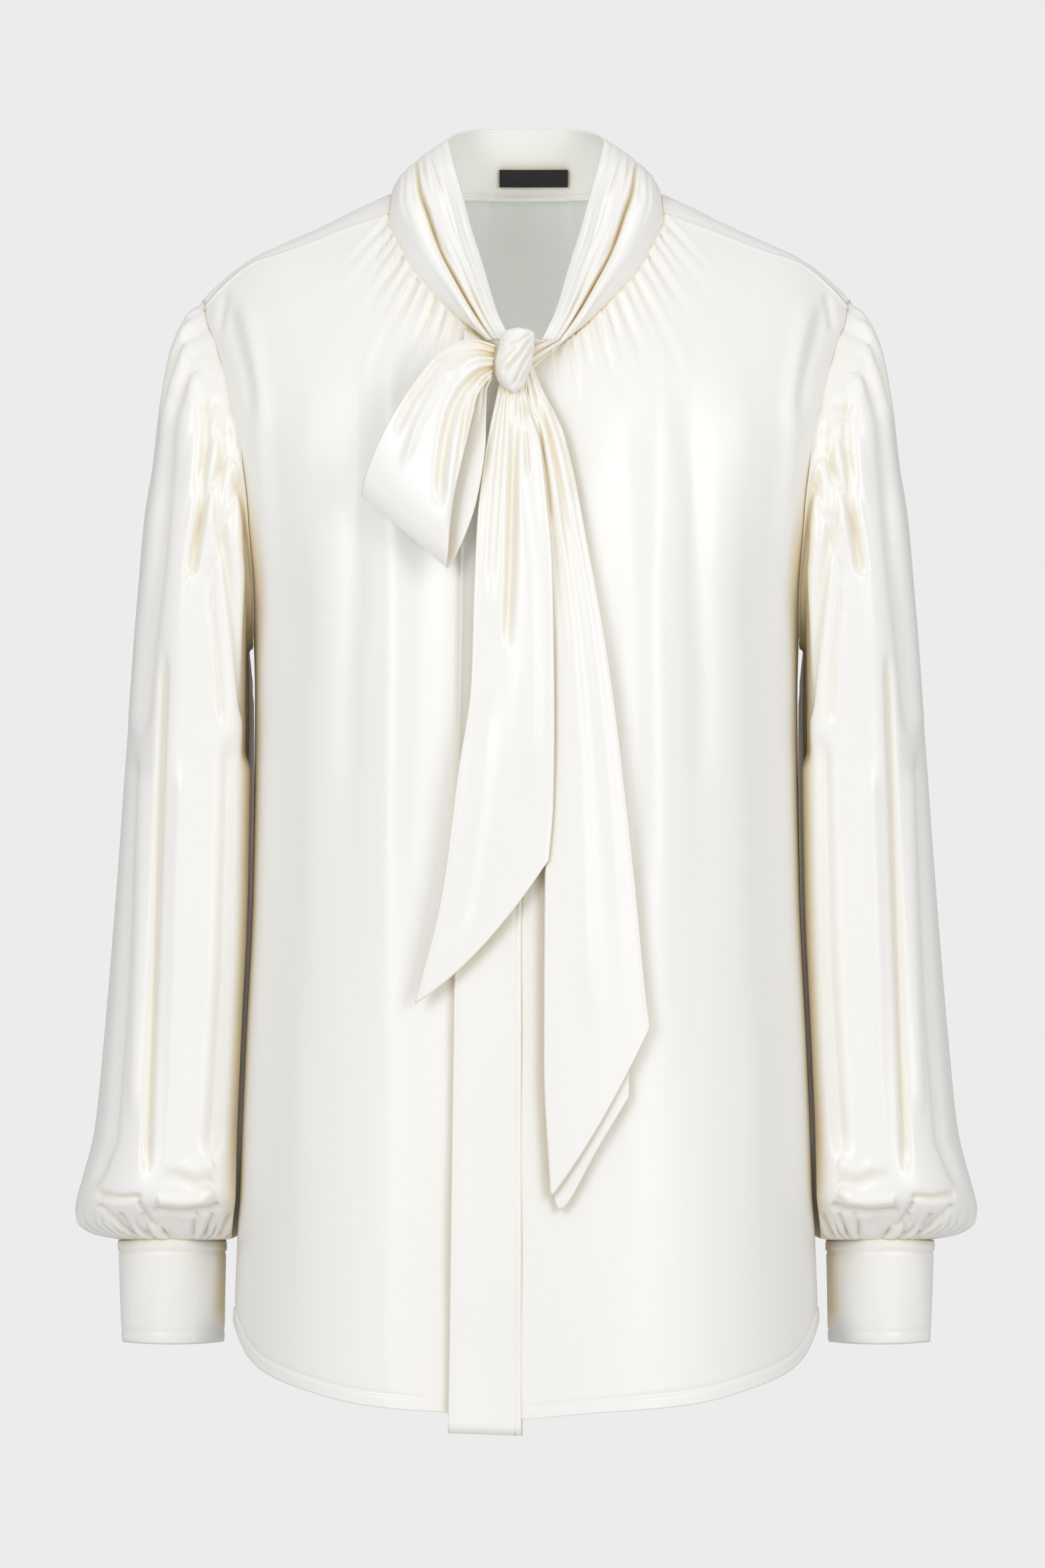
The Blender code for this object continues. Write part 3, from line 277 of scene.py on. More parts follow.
def side_edge(v, face):
    sigma = mix(-SHOULDER_END_ALONG, float(hem_curve(np.array(math.pi / 2), face)), v)
    return np.stack([armhole_theta(sigma), sigma], axis=-1)


def panel_patch(face, centre_x, neck_turn, share, hem_neck_theta):
    """Theta and sigma of half a panel: u runs from the centre to the side, v from the neck to the hem."""
    neck_sigma = float(NECKLINE.read("sigma", neck_turn))
    hem_sigma = float(hem_curve(np.array(0.0), face))

    def centre_edge(v):
        sigma = mix(neck_sigma, hem_sigma, v)
        half = WIDTHS.read("half", PROFILE.read("drop", np.abs(sigma)))
        return np.stack([np.sign(centre_x) * np.arcsin((abs(centre_x) / half) ** (SQUARENESS / 2)), sigma], axis=-1)

    start_theta = float(centre_edge(np.array(1.0))[0])

    def hem_edge(u):
        near = mix(start_theta, hem_neck_theta, u / share)
        far = mix(hem_neck_theta, math.pi / 2, (u - share) / (1 - share))
        theta = np.where(u < share, near, far)
        return np.stack([theta, hem_curve(theta, face)], axis=-1)

    def patch(u, v):
        u, v = np.broadcast_arrays(np.asarray(u, float), np.asarray(v, float))
        a, b = u[..., None], v[..., None]
        ends = np.array([0.0, 1.0])
        top_ends, hem_ends = top_edge(ends, neck_turn, share), hem_edge(ends)
        top_ends[0] = centre_edge(ends)[0]
        top_line, hem_line = mix(top_ends[0], top_ends[1], a), mix(hem_ends[0], hem_ends[1], a)
        centre_line, side_line = mix(top_ends[0], hem_ends[0], b), mix(top_ends[1], hem_ends[1], b)
        return (
            mix(top_line, hem_line, b)
            + (top_edge(u, neck_turn, share) - top_line) * (1 - b) ** 2.5
            + (hem_edge(u) - hem_line) * b**2.5
            + (centre_edge(v) - centre_line) * (1 - a)
            + (side_edge(v, face) - side_line) * a**5
        )

    return patch


print("underarm at", torso(armhole_theta(-UNDERARM_ALONG), -UNDERARM_ALONG).round(4))

# %% [markdown]
# ## Creases drawn as strokes
# A crease is a stroke on the outline seen from the front: a few points in millimetres, a half width and
# a depth. A negative depth makes a ridge. Each one fades at its ends, as a fold in soft cloth does.

# %% Strokes and uneven values
def stroke(x, z, path, width, fade=0.2):
    """1 on a drawn line and 0 away from it, for places in metres; the path and width are in millimetres."""
    line = np.array(path, float) / 1000
    steps = np.diff(line, axis=0)
    lengths = np.linalg.norm(steps, axis=1)
    starts = np.concatenate([[0], np.cumsum(lengths)])
    nearest, at = np.full(x.shape, 1e9), np.zeros(x.shape)
    for point, step, length, start in zip(line, steps, lengths, starts):
        t = np.clip(((x - point[0]) * step[0] + (z - point[1]) * step[1]) / length**2, 0, 1)
        away = np.hypot(x - point[0] - t * step[0], z - point[1] - t * step[1])
        closer = away < nearest
        nearest, at = np.where(closer, away, nearest), np.where(closer, start + t * length, at)
    share = at / starts[-1]
    return bell(nearest, width / 1000) * ease(share / fade + 0.15) * ease((1 - share) / fade)


def relief(x, z, strokes, fade=0.2):
    """The summed height of named strokes, each a half width, a depth and its points."""
    lift = np.zeros(x.shape)
    for width, depth, *path in strokes.values():
        lift = lift - depth / 1000 * stroke(x, z, path, width, fade)
    return lift


def uneven(number, salt):
    """A repeatable value from 0 to 1 for a numbered fold, so that no two are alike."""
    return (math.sin(number * 12.9898 + salt * 78.233) * 43758.5453) % 1.0


# %% [markdown]
# ## Materials
# Silk satin starts from what it is: long warp threads that float over the weft, so its gloss runs
# across the threads, with a fine twill of shadow between them. Light that bounces about in a fold of ivory
# silk comes out warmer each time, so painted shade stands in for it: the creases are painted cream and then
# gold in the base colour, the more so the more enclosed they are.
# The wrong side of satin shows more weft and is dull.

# %% Materials
def linear(hex_code):
    """An sRGB hex code as a linear colour."""
    channels = [int(hex_code[i : i + 2], 16) / 255 for i in (0, 2, 4)]
    return (*[c / 12.92 if c <= 0.04045 else ((c + 0.055) / 1.055) ** 2.4 for c in channels], 1.0)


def add_node(material, kind, settings=None, **inputs):
    """Adds a node; settings are its own options, inputs are values or other nodes' sockets."""
    node = material.node_tree.nodes.new("ShaderNode" + kind)
    for name, value in (settings or {}).items():
        setattr(node, name, value)
    for name, value in inputs.items():
        socket = node.inputs[name.replace("_", " ")]
        if isinstance(value, bpy.types.NodeSocket):
            material.node_tree.links.new(value, socket)
        else:
            socket.default_value = value
    return node


def new_material(name, hex_code, roughness, **inputs):
    material = bpy.data.materials.new(name)
    material.use_nodes = True
    shader = material.node_tree.nodes["Principled BSDF"]
    shader.inputs["Base Color"].default_value = linear(hex_code)
    shader.inputs["Roughness"].default_value = roughness
    for key, value in inputs.items():
        shader.inputs[key.replace("_", " ")].default_value = value
    return material, shader


def link(material, socket, target):
    material.node_tree.links.new(socket, target)


# The cream and gold colours are painted shade for the creases; the ivory is the satin's own colour.
SATIN_IVORY, PAINTED_SHADE_CREAM, PAINTED_SHADE_GOLD = "FBFAF6", "F6F0E0", "E9D9B2"
THREAD_MM = 0.28


def weave_height(material, uv):
    """The height of the satin's float threads and of the slight slubs in them."""
    threads = add_node(
        material, "TexWave", {"bands_direction": "X"}, Vector=uv, Scale=1000 / THREAD_MM / 6.28, Distortion=0.6
    )
    weft = add_node(
        material, "TexWave", {"bands_direction": "Y"}, Vector=uv, Scale=1000 / (3 * THREAD_MM) / 6.28, Distortion=0.8
    )
    weave = add_node(material, "Math", {"operation": "MULTIPLY"})
    link(material, threads.outputs["Fac"], weave.inputs[0])
    link(material, weft.outputs["Fac"], weave.inputs[1])
    slub = add_node(material, "TexNoise", Vector=uv, Scale=55.0, Detail=3.0, Roughness=0.55)
    height = add_node(material, "Math", {"operation": "MULTIPLY_ADD"})
    link(material, slub.outputs["Fac"], height.inputs[0])
    height.inputs[1].default_value = 0.5
    link(material, weave.outputs["Value"], height.inputs[2])
    return height.outputs["Value"]


def painted_crease_shade(material, reach):
    """Painted shade: ivory in the open, with cream and then gold painted in the more a place is enclosed within reach
    metres.
    """
    enclosed = add_node(material, "AmbientOcclusion", {"samples": 3}, Distance=reach)
    ramp = add_node(material, "ValToRGB", Fac=enclosed.outputs["AO"])
    stops = ramp.color_ramp.elements
    stops[0].position, stops[0].color = 0.22, linear(PAINTED_SHADE_GOLD)
    stops[1].position, stops[1].color = 0.93, linear(SATIN_IVORY)
    middle = stops.new(0.62)
    middle.color = linear(PAINTED_SHADE_CREAM)
    return ramp.outputs["Color"]


def make_satin(name, roughness=0.30, reach=0.014):
    material, shader = new_material(
        name, SATIN_IVORY, roughness, Anisotropic=0.5, Sheen_Weight=0.06, Sheen_Roughness=0.35
    )
    shader.inputs["Specular IOR Level"].default_value = 0.6
    uv = add_node(material, "TexCoord").outputs["UV"]
    bump = add_node(material, "Bump", Height=weave_height(material, uv), Strength=0.12, Distance=0.0001)
    link(material, bump.outputs["Normal"], shader.inputs["Normal"])
    tangent = add_node(material, "Tangent", {"direction_type": "UV_MAP"})
    link(material, tangent.outputs["Tangent"], shader.inputs["Tangent"])
    # The base colour takes the painted crease shade.
    link(material, painted_crease_shade(material, reach), shader.inputs["Base Color"])
    patches = add_node(material, "TexNoise", Vector=uv, Scale=9.0, Detail=2.0)
    rough = add_node(material, "MapRange", Value=patches.outputs["Fac"])
    rough.inputs["To Min"].default_value = roughness - 0.04
    rough.inputs["To Max"].default_value = roughness + 0.05
    link(material, rough.outputs["Result"], shader.inputs["Roughness"])
    return material


def make_wrong_side(name):
    material, shader = new_material(name, "F2F4F0", 0.7, Sheen_Weight=0.1)
    uv = add_node(material, "TexCoord").outputs["UV"]
    bump = add_node(material, "Bump", Height=weave_height(material, uv), Strength=0.2, Distance=0.0001)
    link(material, bump.outputs["Normal"], shader.inputs["Normal"])
    mottle = add_node(material, "TexNoise", Vector=uv, Scale=14.0, Detail=3.0)
    tint = add_node(material, "ValToRGB", Fac=mottle.outputs["Fac"])
    tint.color_ramp.elements[0].color = linear("EDF0EB")
    tint.color_ramp.elements[1].color = linear("F6F7F4")
    link(material, tint.outputs["Color"], shader.inputs["Base Color"])
    return material


SATIN = make_satin("silk_satin")
WRONG_SIDE = make_wrong_side("silk_satin_wrong_side")
print("materials:", SATIN.name, WRONG_SIDE.name)

# %% [markdown]
# ## Building cloth
# A grid of points becomes a sheet, its UV map holds the way over the cloth in metres, and a Solidify
# modifier gives it the thickness of satin. The grid's outside faces away from the body.

# %% Build a sheet from a grid
CLOTH = 0.0005


def way_over(points):
    """Metres over the cloth along the columns and down the rows, for the UV map."""
    across = np.linalg.norm(np.diff(points, axis=1), axis=2)
    down = np.linalg.norm(np.diff(points, axis=0), axis=2)
    zero_column, zero_row = np.zeros((points.shape[0], 1)), np.zeros((1, points.shape[1]))
    u = np.concatenate([zero_column, np.cumsum(across, axis=1)], axis=1)
    v = np.concatenate([zero_row, np.cumsum(down, axis=0)], axis=0)
    return u - u[:, -1:] / 2, v


def sheet_object(name, points, material, thickness=CLOTH, closed=False, outside=None, wrong_side=False):
    """A sheet from points of rows by columns by 3; closed joins the last column to the first."""
    rows, columns = points.shape[:2]
    mesh = bpy.data.meshes.new(name)
    last = columns if closed else columns - 1
    r, c = np.meshgrid(np.arange(rows - 1), np.arange(last), indexing="ij")
    after = (c + 1) % columns
    faces = np.stack([r * columns + c, (r + 1) * columns + c, (r + 1) * columns + after, r * columns + after], axis=-1)
    corner_v = np.stack([r, r + 1, r + 1, r], axis=-1).reshape(-1)
    corner_u = np.stack([c, c, c + 1, c + 1], axis=-1).reshape(-1)
    if outside is not None:
        a, b, d = (points[faces[..., k] // columns, faces[..., k] % columns] for k in (0, 1, 3))
        if (np.cross(b - a, d - a) * outside(a)).sum() < 0:
            faces, corner_u = faces[..., ::-1], corner_u.reshape(-1, 4)[:, ::-1].reshape(-1)
            corner_v = corner_v.reshape(-1, 4)[:, ::-1].reshape(-1)
    mesh.from_pydata(points.reshape(-1, 3).tolist(), [], faces.reshape(-1, 4).tolist())
    grid = np.concatenate([points, points[:, :1]], axis=1) if closed else points
    u, v = way_over(grid)
    uv = np.stack([u[corner_v, corner_u], v[corner_v, corner_u]], axis=-1)
    mesh.uv_layers.new(name="cloth").data.foreach_set("uv", uv.astype(np.float32).reshape(-1))
    mesh.shade_smooth()
    obj = bpy.data.objects.new(name, mesh)
    bpy.context.scene.collection.objects.link(obj)
    mesh.materials.append(material)
    mesh.materials.append(WRONG_SIDE)
    solid = obj.modifiers.new("cloth", "SOLIDIFY")
    solid.thickness, solid.offset, solid.use_even_offset = thickness, -1.0, False
    solid.material_offset = 1 if wrong_side else 0
    return obj


def area_of(points, closed=False):
    grid = np.concatenate([points, points[:, :1]], axis=1) if closed else points
    a, b, c = grid[:-1, :-1], grid[1:, :-1], grid[:-1, 1:]
    return float(np.linalg.norm(np.cross(b - a, c - a), axis=-1).sum())


def finish_piece(obj, node):
    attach(obj, "root")
    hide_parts(node)
    return obj


def from_axis(points):
    """The way out of the body, for a piece that goes round it."""
    return points * np.array([1.0, 1.0, 0.0])


def mirrored(points, side):
    return points * np.array([side, 1.0, 1.0])


# %% [markdown]
# ## The fronts
# Gathers leave the neckline like rays, and soft drapes run on from them down to the hem.

# %% Relief of the fronts
FRONT_NECK_SHARE, BACK_NECK_SHARE = 0.50, 0.50
HEM_NECK_THETA = math.radians(25)
RAY_CENTRE_Z = 0.090
UNDERLAP_DEPTH, UNDERLAP_FROM_X, UNDERLAP_TO_X = 0.0026, 0.085, 0.052
NECK_CREASES = Table(
    # The ray's angle from straight down and its half width, in degrees, its depth and length in metres
    "ray wide depth length",
    (6.0, 0.55, 0.0012, 0.035),
    (9.0, 0.60, 0.0018, 0.060),
    (12.0, 0.50, 0.0014, 0.042),
    (15.5, 0.70, 0.0022, 0.075),
    (18.5, 0.55, 0.0015, 0.048),
    (21.5, 0.70, 0.0024, 0.085),
    (24.5, 0.55, 0.0016, 0.050),
    (27.0, 0.75, 0.0026, 0.095),
    (30.0, 0.55, 0.0017, 0.055),
    (33.0, 0.70, 0.0024, 0.080),
    (36.0, 0.55, 0.0015, 0.050),
    (38.5, 0.65, 0.0020, 0.060),
    (41.5, 0.55, 0.0013, 0.040),
)
FINE_NECK_GATHERS = 34
FRONT_STROKES = {
    "dark by the armhole": (2.2, 1.8, (179, -46), (181, -52), (182.3, -59), (183.5, -70)),
    "turn to the armhole": (3.6, 2.6, (177, -55), (173, -70), (170, -80), (166.7, -91), (164.4, -104), (162.7, -125)),
    "beside that turn": (6.0, -1.6, (170, -48), (163, -78), (158, -110), (157, -140)),
    "long drape": (9.0, 1.3, (60, -115), (66, -180), (68, -300), (66, -420)),
    "long drape 2": (8.0, 1.2, (92, -95), (100, -170), (106, -280), (104, -360)),
    "long drape 3": (10.0, 1.1, (128, -120), (134, -230), (138, -380), (136, -520)),
}
DRAPES = Table(
    # Broad folds of a front: u, height, half width, and the v where each starts and ends
    "u raise width start end",
    (0.10, 0.0009, 0.050, 0.05, 0.60),
    (0.22, -0.0008, 0.050, 0.08, 0.95),
    (0.36, 0.0012, 0.060, 0.04, 0.80),
    (0.52, -0.0009, 0.055, 0.07, 0.75),
    (0.66, 0.0011, 0.060, 0.10, 1.05),
    (0.80, -0.0010, 0.055, 0.15, 0.85),
    (0.90, 0.0010, 0.040, 0.04, 0.60),
)


def drapes(table, u, v):
    lift = np.zeros(np.broadcast(u, v).shape)
    for centre, height, width, start, end in table.rows:
        sway = centre + 0.012 * np.sin(5 * v + 9 * centre)
        lift = lift + height * ease((v - start) / 0.12) * ease((end - v) / 0.32) * bell(u - sway, width)
    return lift


def neck_creases(points, v):
    """Sharp troughs that leave the neck seam like rays, with soft ridges beside them."""
    ray = np.degrees(np.arctan2(np.abs(points[..., 0]), RAY_CENTRE_Z - points[..., 2]))
    away = v * 0.62
    lift = np.zeros(ray.shape)
    for centre, wide, depth, length in NECK_CREASES.rows:
        fade = ease((length - away) / length) * ease(away / 0.004 + 0.4)
        lift = lift - 0.8 * depth * fade * bell(ray - centre, wide)
        lift = lift + 0.5 * depth * fade * bell(ray - centre - 2.2 * wide, wide * 1.3)
    for number in range(FINE_NECK_GATHERS):
        centre = 4 + 39 * (number + 0.6 * uneven(number, 1)) / FINE_NECK_GATHERS
        length = 0.010 + 0.026 * uneven(number, 2)
        depth = 0.0005 + 0.0006 * uneven(number, 3)
        lift = lift - depth * bell(away, length) * bell(ray - centre, 0.34)
    return lift


print("neck creases on each side:", len(NECK_CREASES.rows) + FINE_NECK_GATHERS)

# %% Build the fronts
def hem_fold(v, length):
    """The turned hem stands a little proud, and its stitches draw a line above it."""
    to_hem = (1 - v) * length
    return 0.0007 * ease((0.0068 - to_hem) / 0.0006) - 0.0005 * bell(to_hem - 0.0078, 0.0009)


def panel_rows(count, length):
    """Rows that lie close together at the neck and at the hem."""
    return np.unique(np.concatenate([np.linspace(0, 1, count) ** 1.6, 1 - np.linspace(0, 0.010, 13) / length]))


def seam_shift(v, face):
    shift = np.zeros(v.shape + (3,))
    shift[..., 1] = face * mix(0.0005, 0.0001, ease(v / 0.02))
    return shift


def with_allowance(points, normal):
    """Adds the seam allowance that is turned under along the top edge."""
    out = unit(points[0] - points[2])
    return np.concatenate([(points[0] + out * 0.0030 - normal[0] * 0.0018)[None], points], axis=0)


def front_points(side, centre_x):
    patch = panel_patch(-1, centre_x, 1.0, FRONT_NECK_SHARE, HEM_NECK_THETA)
    u, v = np.broadcast_arrays(np.linspace(0, 1, 211)[None, :], panel_rows(86, 0.63)[:, None])
    at = patch(u, v)
    points, normal = torso(at[..., 0], at[..., 1]), torso_normal(at[..., 0], at[..., 1])
    lift = drapes(DRAPES, u, v) + neck_creases(points, v) + relief(points[..., 0], points[..., 2], FRONT_STROKES)
    lift = lift * ease((1 - u) / 0.012) + hem_fold(v, 0.63)
    lift = lift + 0.0007 * bell(v * 0.62, 0.0016) * (u > FRONT_NECK_SHARE)
    if side < 0:
        covered = 1 - ease((points[..., 0] - UNDERLAP_TO_X) / (UNDERLAP_FROM_X - UNDERLAP_TO_X))
        covered = covered * ease((0.06 + v) / 0.12)
        lift = mix(lift, 0.0, covered * ease((-points[..., 2] - 0.30) / 0.1)) - UNDERLAP_DEPTH * covered
    else:
        lift = lift * ease((points[..., 0] - LEFT_FRONT_EDGE_X) / 0.010)
    return mirrored(with_allowance(points + normal * lift[..., None] + seam_shift(v, -1), normal), side)


def build_front(name, node, side, centre_x):
    points = front_points(side, centre_x)
    obj = sheet_object(name, points, SATIN, outside=from_axis, wrong_side=True)
    finish_piece(obj, node)
    return obj


LEFT_FRONT = build_front("left_front_cloth", "left_front", 1, LEFT_FRONT_EDGE_X)
RIGHT_FRONT = build_front("right_front_cloth", "right_front", -1, RIGHT_FRONT_EDGE_X)

# %% [markdown]
# ## The back
# One piece comes forward over the shoulders, and its edge makes a fine raised line at each shoulder seam.

# %% Build the back
BACK_DRAPES = Table(
    "u raise width start end",
    (0.00, 0.0016, 0.050, 0.10, 0.95),
    (0.14, -0.0020, 0.045, 0.08, 0.85),
    (0.27, 0.0022, 0.050, 0.06, 1.05),
    (0.42, -0.0018, 0.045, 0.12, 0.90),
    (0.56, 0.0022, 0.050, 0.15, 1.05),
    (0.70, -0.0018, 0.040, 0.10, 0.75),
    (0.82, 0.0018, 0.040, 0.08, 0.65),
)
BACK_NECK_GATHERS = 16


def back_gathers(u, v):
    """Short gathers under the collar at the back of the neck."""
    lift = np.zeros(u.shape)
    for number in range(BACK_NECK_GATHERS):
        centre = 0.03 + 0.40 * (number + 0.6 * uneven(number, 5)) / BACK_NECK_GATHERS
        length = 0.020 + 0.045 * uneven(number, 6)
        depth = 0.0008 + 0.0010 * uneven(number, 7)
        lift = lift - depth * bell(v * 0.72, length) * bell(u - centre, 0.008)
    return lift


def back_half(sway):
    patch = panel_patch(1, 0.0, 0.0, BACK_NECK_SHARE, HEM_NECK_THETA)
    u, v = np.broadcast_arrays(np.linspace(0, 1, 76)[None, :], panel_rows(84, 0.72)[:, None])
    at = patch(u, v)
    points, normal = torso(at[..., 0], at[..., 1]), torso_normal(at[..., 0], at[..., 1])
    side = ease((1 - u) / 0.1)
    lift = drapes(BACK_DRAPES, u + sway * np.sin(4 * v) * ease(u / 0.2), v) * side
    lift = lift + back_gathers(u, v) * ease(u / 0.02) + hem_fold(v, 0.72)
    lift = lift + 0.0010 * bell(v * 0.72, 0.0018) * ease((u - BACK_NECK_SHARE) / 0.01)
    return with_allowance(points + normal * lift[..., None] + seam_shift(v, 1), normal)


points = np.concatenate([mirrored(back_half(0.03), -1)[:, :0:-1], back_half(0.0)], axis=1)
BACK = sheet_object("back_cloth", points, SATIN, outside=from_axis, wrong_side=True)
finish_piece(BACK, "back")

# %% [markdown]
# ## The placket
# A covered band of double cloth lies on the wearer's left front, over the right front.

# %% Build the placket
PLACKET_TOP_X, PLACKET_HEM_X, PLACKET_HEM_Z = -0.0370, -0.0465, -0.7270
PLACKET_SEAM_X = -0.0022
PLACKET_THICK = 0.0014


def placket_points(columns=33, rows=110):
    t, v = np.linspace(0, 1, columns)[None, :], np.linspace(0, 1, rows)[:, None]
    edge = mix(PLACKET_TOP_X, PLACKET_HEM_X, v)
    x = mix(PLACKET_SEAM_X, edge, t)
    neck = np.interp(-x, [0.002, 0.018, 0.035, 0.053], [-0.0885, -0.0815, -0.0695, -0.0515])
    z = mix(neck, PLACKET_HEM_Z + 0.0015 * t, v)
    points = torso(*place(x, z, -1))
    soft = 0.0005 * np.sin(14 * v + 3 * t) * ease(t / 0.3) + 0.0004 * np.sin(31 * v + 1.0)
    ridge = 0.0007 * bell(t - 0.045, 0.02) - 0.0006 * bell(t - 0.10, 0.014) + 0.0008 * bell(t - 1.0, 0.05)
    points[..., 1] -= 0.0009 + soft + ridge - 0.0012 * bell(t, 0.015)
    return points


points = placket_points()
PLACKET = sheet_object("placket_cloth", points, SATIN, thickness=PLACKET_THICK, outside=from_axis)
finish_piece(PLACKET, "front_placket")

# %% [markdown]
# ## The sleeves
# Each ring of a sleeve blends from the armhole's oval to a level oval. The creases are listed: each
# has a line of x against z on the outline, a depth and a width.

# %% The form of a sleeve
SLEEVE = Table(
    "fall outer inner depth middle",
    (0.050, 0.1940, 0.1640, 0.060, 0.005),
    (0.058, 0.2000, 0.1640, 0.062, 0.005),
    (0.072, 0.2067, 0.1640, 0.064, 0.005),
    (0.088, 0.2120, 0.1640, 0.066, 0.005),
    (0.120, 0.2200, 0.1640, 0.068, 0.006),
    (0.151, 0.2240, 0.1640, 0.069, 0.008),
    (0.183, 0.2290, 0.1640, 0.070, 0.011),
    (0.246, 0.2340, 0.1640, 0.071, 0.018),
    (0.310, 0.2390, 0.1632, 0.071, 0.025),
    (0.405, 0.2460, 0.1640, 0.070, 0.031),
    (0.500, 0.2540, 0.1670, 0.068, 0.034),
    (0.547, 0.2590, 0.1690, 0.067, 0.034),
    (0.579, 0.2670, 0.1670, 0.066, 0.033),
    (0.588, 0.2695, 0.1655, 0.063, 0.032),
    (0.595, 0.2705, 0.1650, 0.057, 0.032),
    (0.603, 0.2690, 0.1655, 0.047, 0.031),
    (0.609, 0.2600, 0.1700, 0.039, 0.030),
    (0.6118, 0.2490, 0.1760, 0.0345, 0.030),
    (0.6131, 0.2440, 0.1800, 0.0320, 0.030),
)
SLEEVE_END_Z, SLEEVE_SQUARENESS, SLEEVE_CLEAR = -0.6131, 2.15, 0.0026
INNER_SQUARENESS = 4.2
ARMHOLE_GAP = 0.0005
CAP_GATHERS, CUFF_GATHERS = 24, 36


def armhole_loop(keys):
    share = (1 - np.cos(np.linspace(0, np.pi, 400))) / 2
    sigma = np.concatenate([-UNDERARM_ALONG * share, UNDERARM_ALONG * share[::-1][1:]])
    points = torso(armhole_theta(sigma), sigma)
    length = np.concatenate([[0], np.cumsum(np.linalg.norm(np.diff(points, axis=0), axis=1))])
    sigma = np.interp(keys * length[-1], length, sigma)
    return armhole_theta(sigma), sigma


LOOP_STEPS = 360
LOOP_POINTS = torso(*armhole_loop(np.arange(LOOP_STEPS + 1) / LOOP_STEPS))


def clear_of_torso(points, clearance):
    drop = drop_at(np.clip(points[..., 0], 0, 0.2), points[..., 2])
    half, along = WIDTHS.read("half", drop), PROFILE.read("along", drop, key="drop")
    y = points[..., 1] - RIDGE_Y
    depth = np.where(y < 0, PROFILE.read("front", along), PROFILE.read("back", along))
    reach = np.clip(1 - np.abs(y / np.maximum(depth, 1e-4)) ** SQUARENESS, 0, 1) ** (1 / SQUARENESS)
    moved = points.copy()
    moved[..., 0] = np.maximum(points[..., 0], half * reach + clearance)
    return moved


def sleeve_surface(keys, w):
    turn = 2 * np.pi * keys
    at = (keys % 1.0) * LOOP_STEPS
    start = np.stack([np.interp(at, np.arange(LOOP_STEPS + 1), LOOP_POINTS[:, k]) for k in range(3)], axis=-1)
    z = mix(start[..., 2], SLEEVE_END_Z, w)
    outer, inner = SLEEVE.read("outer", -z), SLEEVE.read("inner", -z)
    depth, middle = SLEEVE.read("depth", -z), SLEEVE.read("middle", -z)
    power = 2 / np.where(np.cos(turn) < 0, INNER_SQUARENESS, SLEEVE_SQUARENESS)
    x = (outer + inner) / 2 + (outer - inner) / 2 * signed_power(np.cos(turn), power)
    y = middle - depth * signed_power(np.sin(turn), power)
    share = 1 - (1 - np.clip(w / 0.30, 0, 1)) ** 3
    share_out = mix(share, 1.0, ((1 + np.cos(turn)) / 2) ** 3 * ease(w / 0.015))
    x, y = mix(start[..., 0], x, share_out), mix(start[..., 1], y, share)
    return clear_of_torso(np.stack([x, y, z], axis=-1), SLEEVE_CLEAR * ease(w / 0.018))


# %% Creases of a sleeve
# Each stroke: half width and depth (a ridge is negative), then points of x and z, all in millimetres
SLEEVE_CREASES = {
    "cap main": (3.0, 4.6, (187, -79), (190, -97), (191, -120), (191.6, -142), (194, -175), (200, -218)),
    "cap second": (2.8, 3.6, (178.5, -108), (182, -153), (184.8, -175), (179, -208), (172, -256), (167, -304)),
    "by the body": (3.2, 4.0, (172.4, -131), (170, -153), (167.8, -175), (165, -218), (165, -333)),
    "cap short": (2.2, 2.6, (191.6, -67.6), (195, -80), (198.4, -94.6)),
    "cap outer": (3.4, 4.2, (198, -66), (205, -100), (210.5, -127), (215, -160), (219, -208), (225, -256), (230, -314)),
    "cap rim": (2.0, 1.8, (203, -70), (212, -96), (221, -130), (226, -160)),
    "fine": (1.9, 2.0, (187.5, -198), (187.5, -237), (184, -266), (181.5, -304)),
    "long sharp": (2.3, 4.2, (216, -262), (218, -310), (220, -371), (222, -433), (225, -516), (227, -577)),
    "long outer": (2.8, 3.8, (235, -320), (238, -382), (240, -433), (242, -474), (248, -553), (256, -573), (262, -586)),
    "inner shade": (6.0, 4.6, (176, -310), (180, -454), (186, -546), (190, -567)),
    "bright ridge": (4.6, -2.8, (209.5, -108), (221, -175), (229, -247), (233.5, -314)),
    "middle ridge": (5.5, -2.4, (205, -330), (208, -420), (210, -520), (212, -575)),
    "ridge by the groove": (4.0, -2.0, (229, -330), (231, -430), (235, -540)),
    "puff lip": (2.2, 3.0, (257, -585), (244, -588), (230, -587)),
    "puff swag": (3.0, -3.0, (221, -588), (206, -590), (193, -588), (187, -582)),
    "under the swag": (2.0, 3.2, (223, -595), (206, -596.5), (190, -595), (182, -591)),
    "puff pocket": (4.0, 2.4, (210, -574), (198, -580), (186, -577)),
    "above the pocket": (4.0, -1.6, (214, -566), (200, -571), (186, -567)),
    "puff fold": (1.4, 2.4, (232, -590), (227, -598), (222, -605)),
    "puff fold outer": (1.6, 2.2, (256, -592), (247, -600), (238, -609)),
}
PUFF_FAN = Table("start_x end_x", (184, 176), (192, 187), (200, 197), (208, 207), (216, 219), (225, 230), (234, 243))


def sharp_wave(phase):
    """A wave with round crests and narrow troughs, as gathered cloth has."""
    return 2 * np.abs(np.cos(phase / 2)) ** 0.7 - 1.5


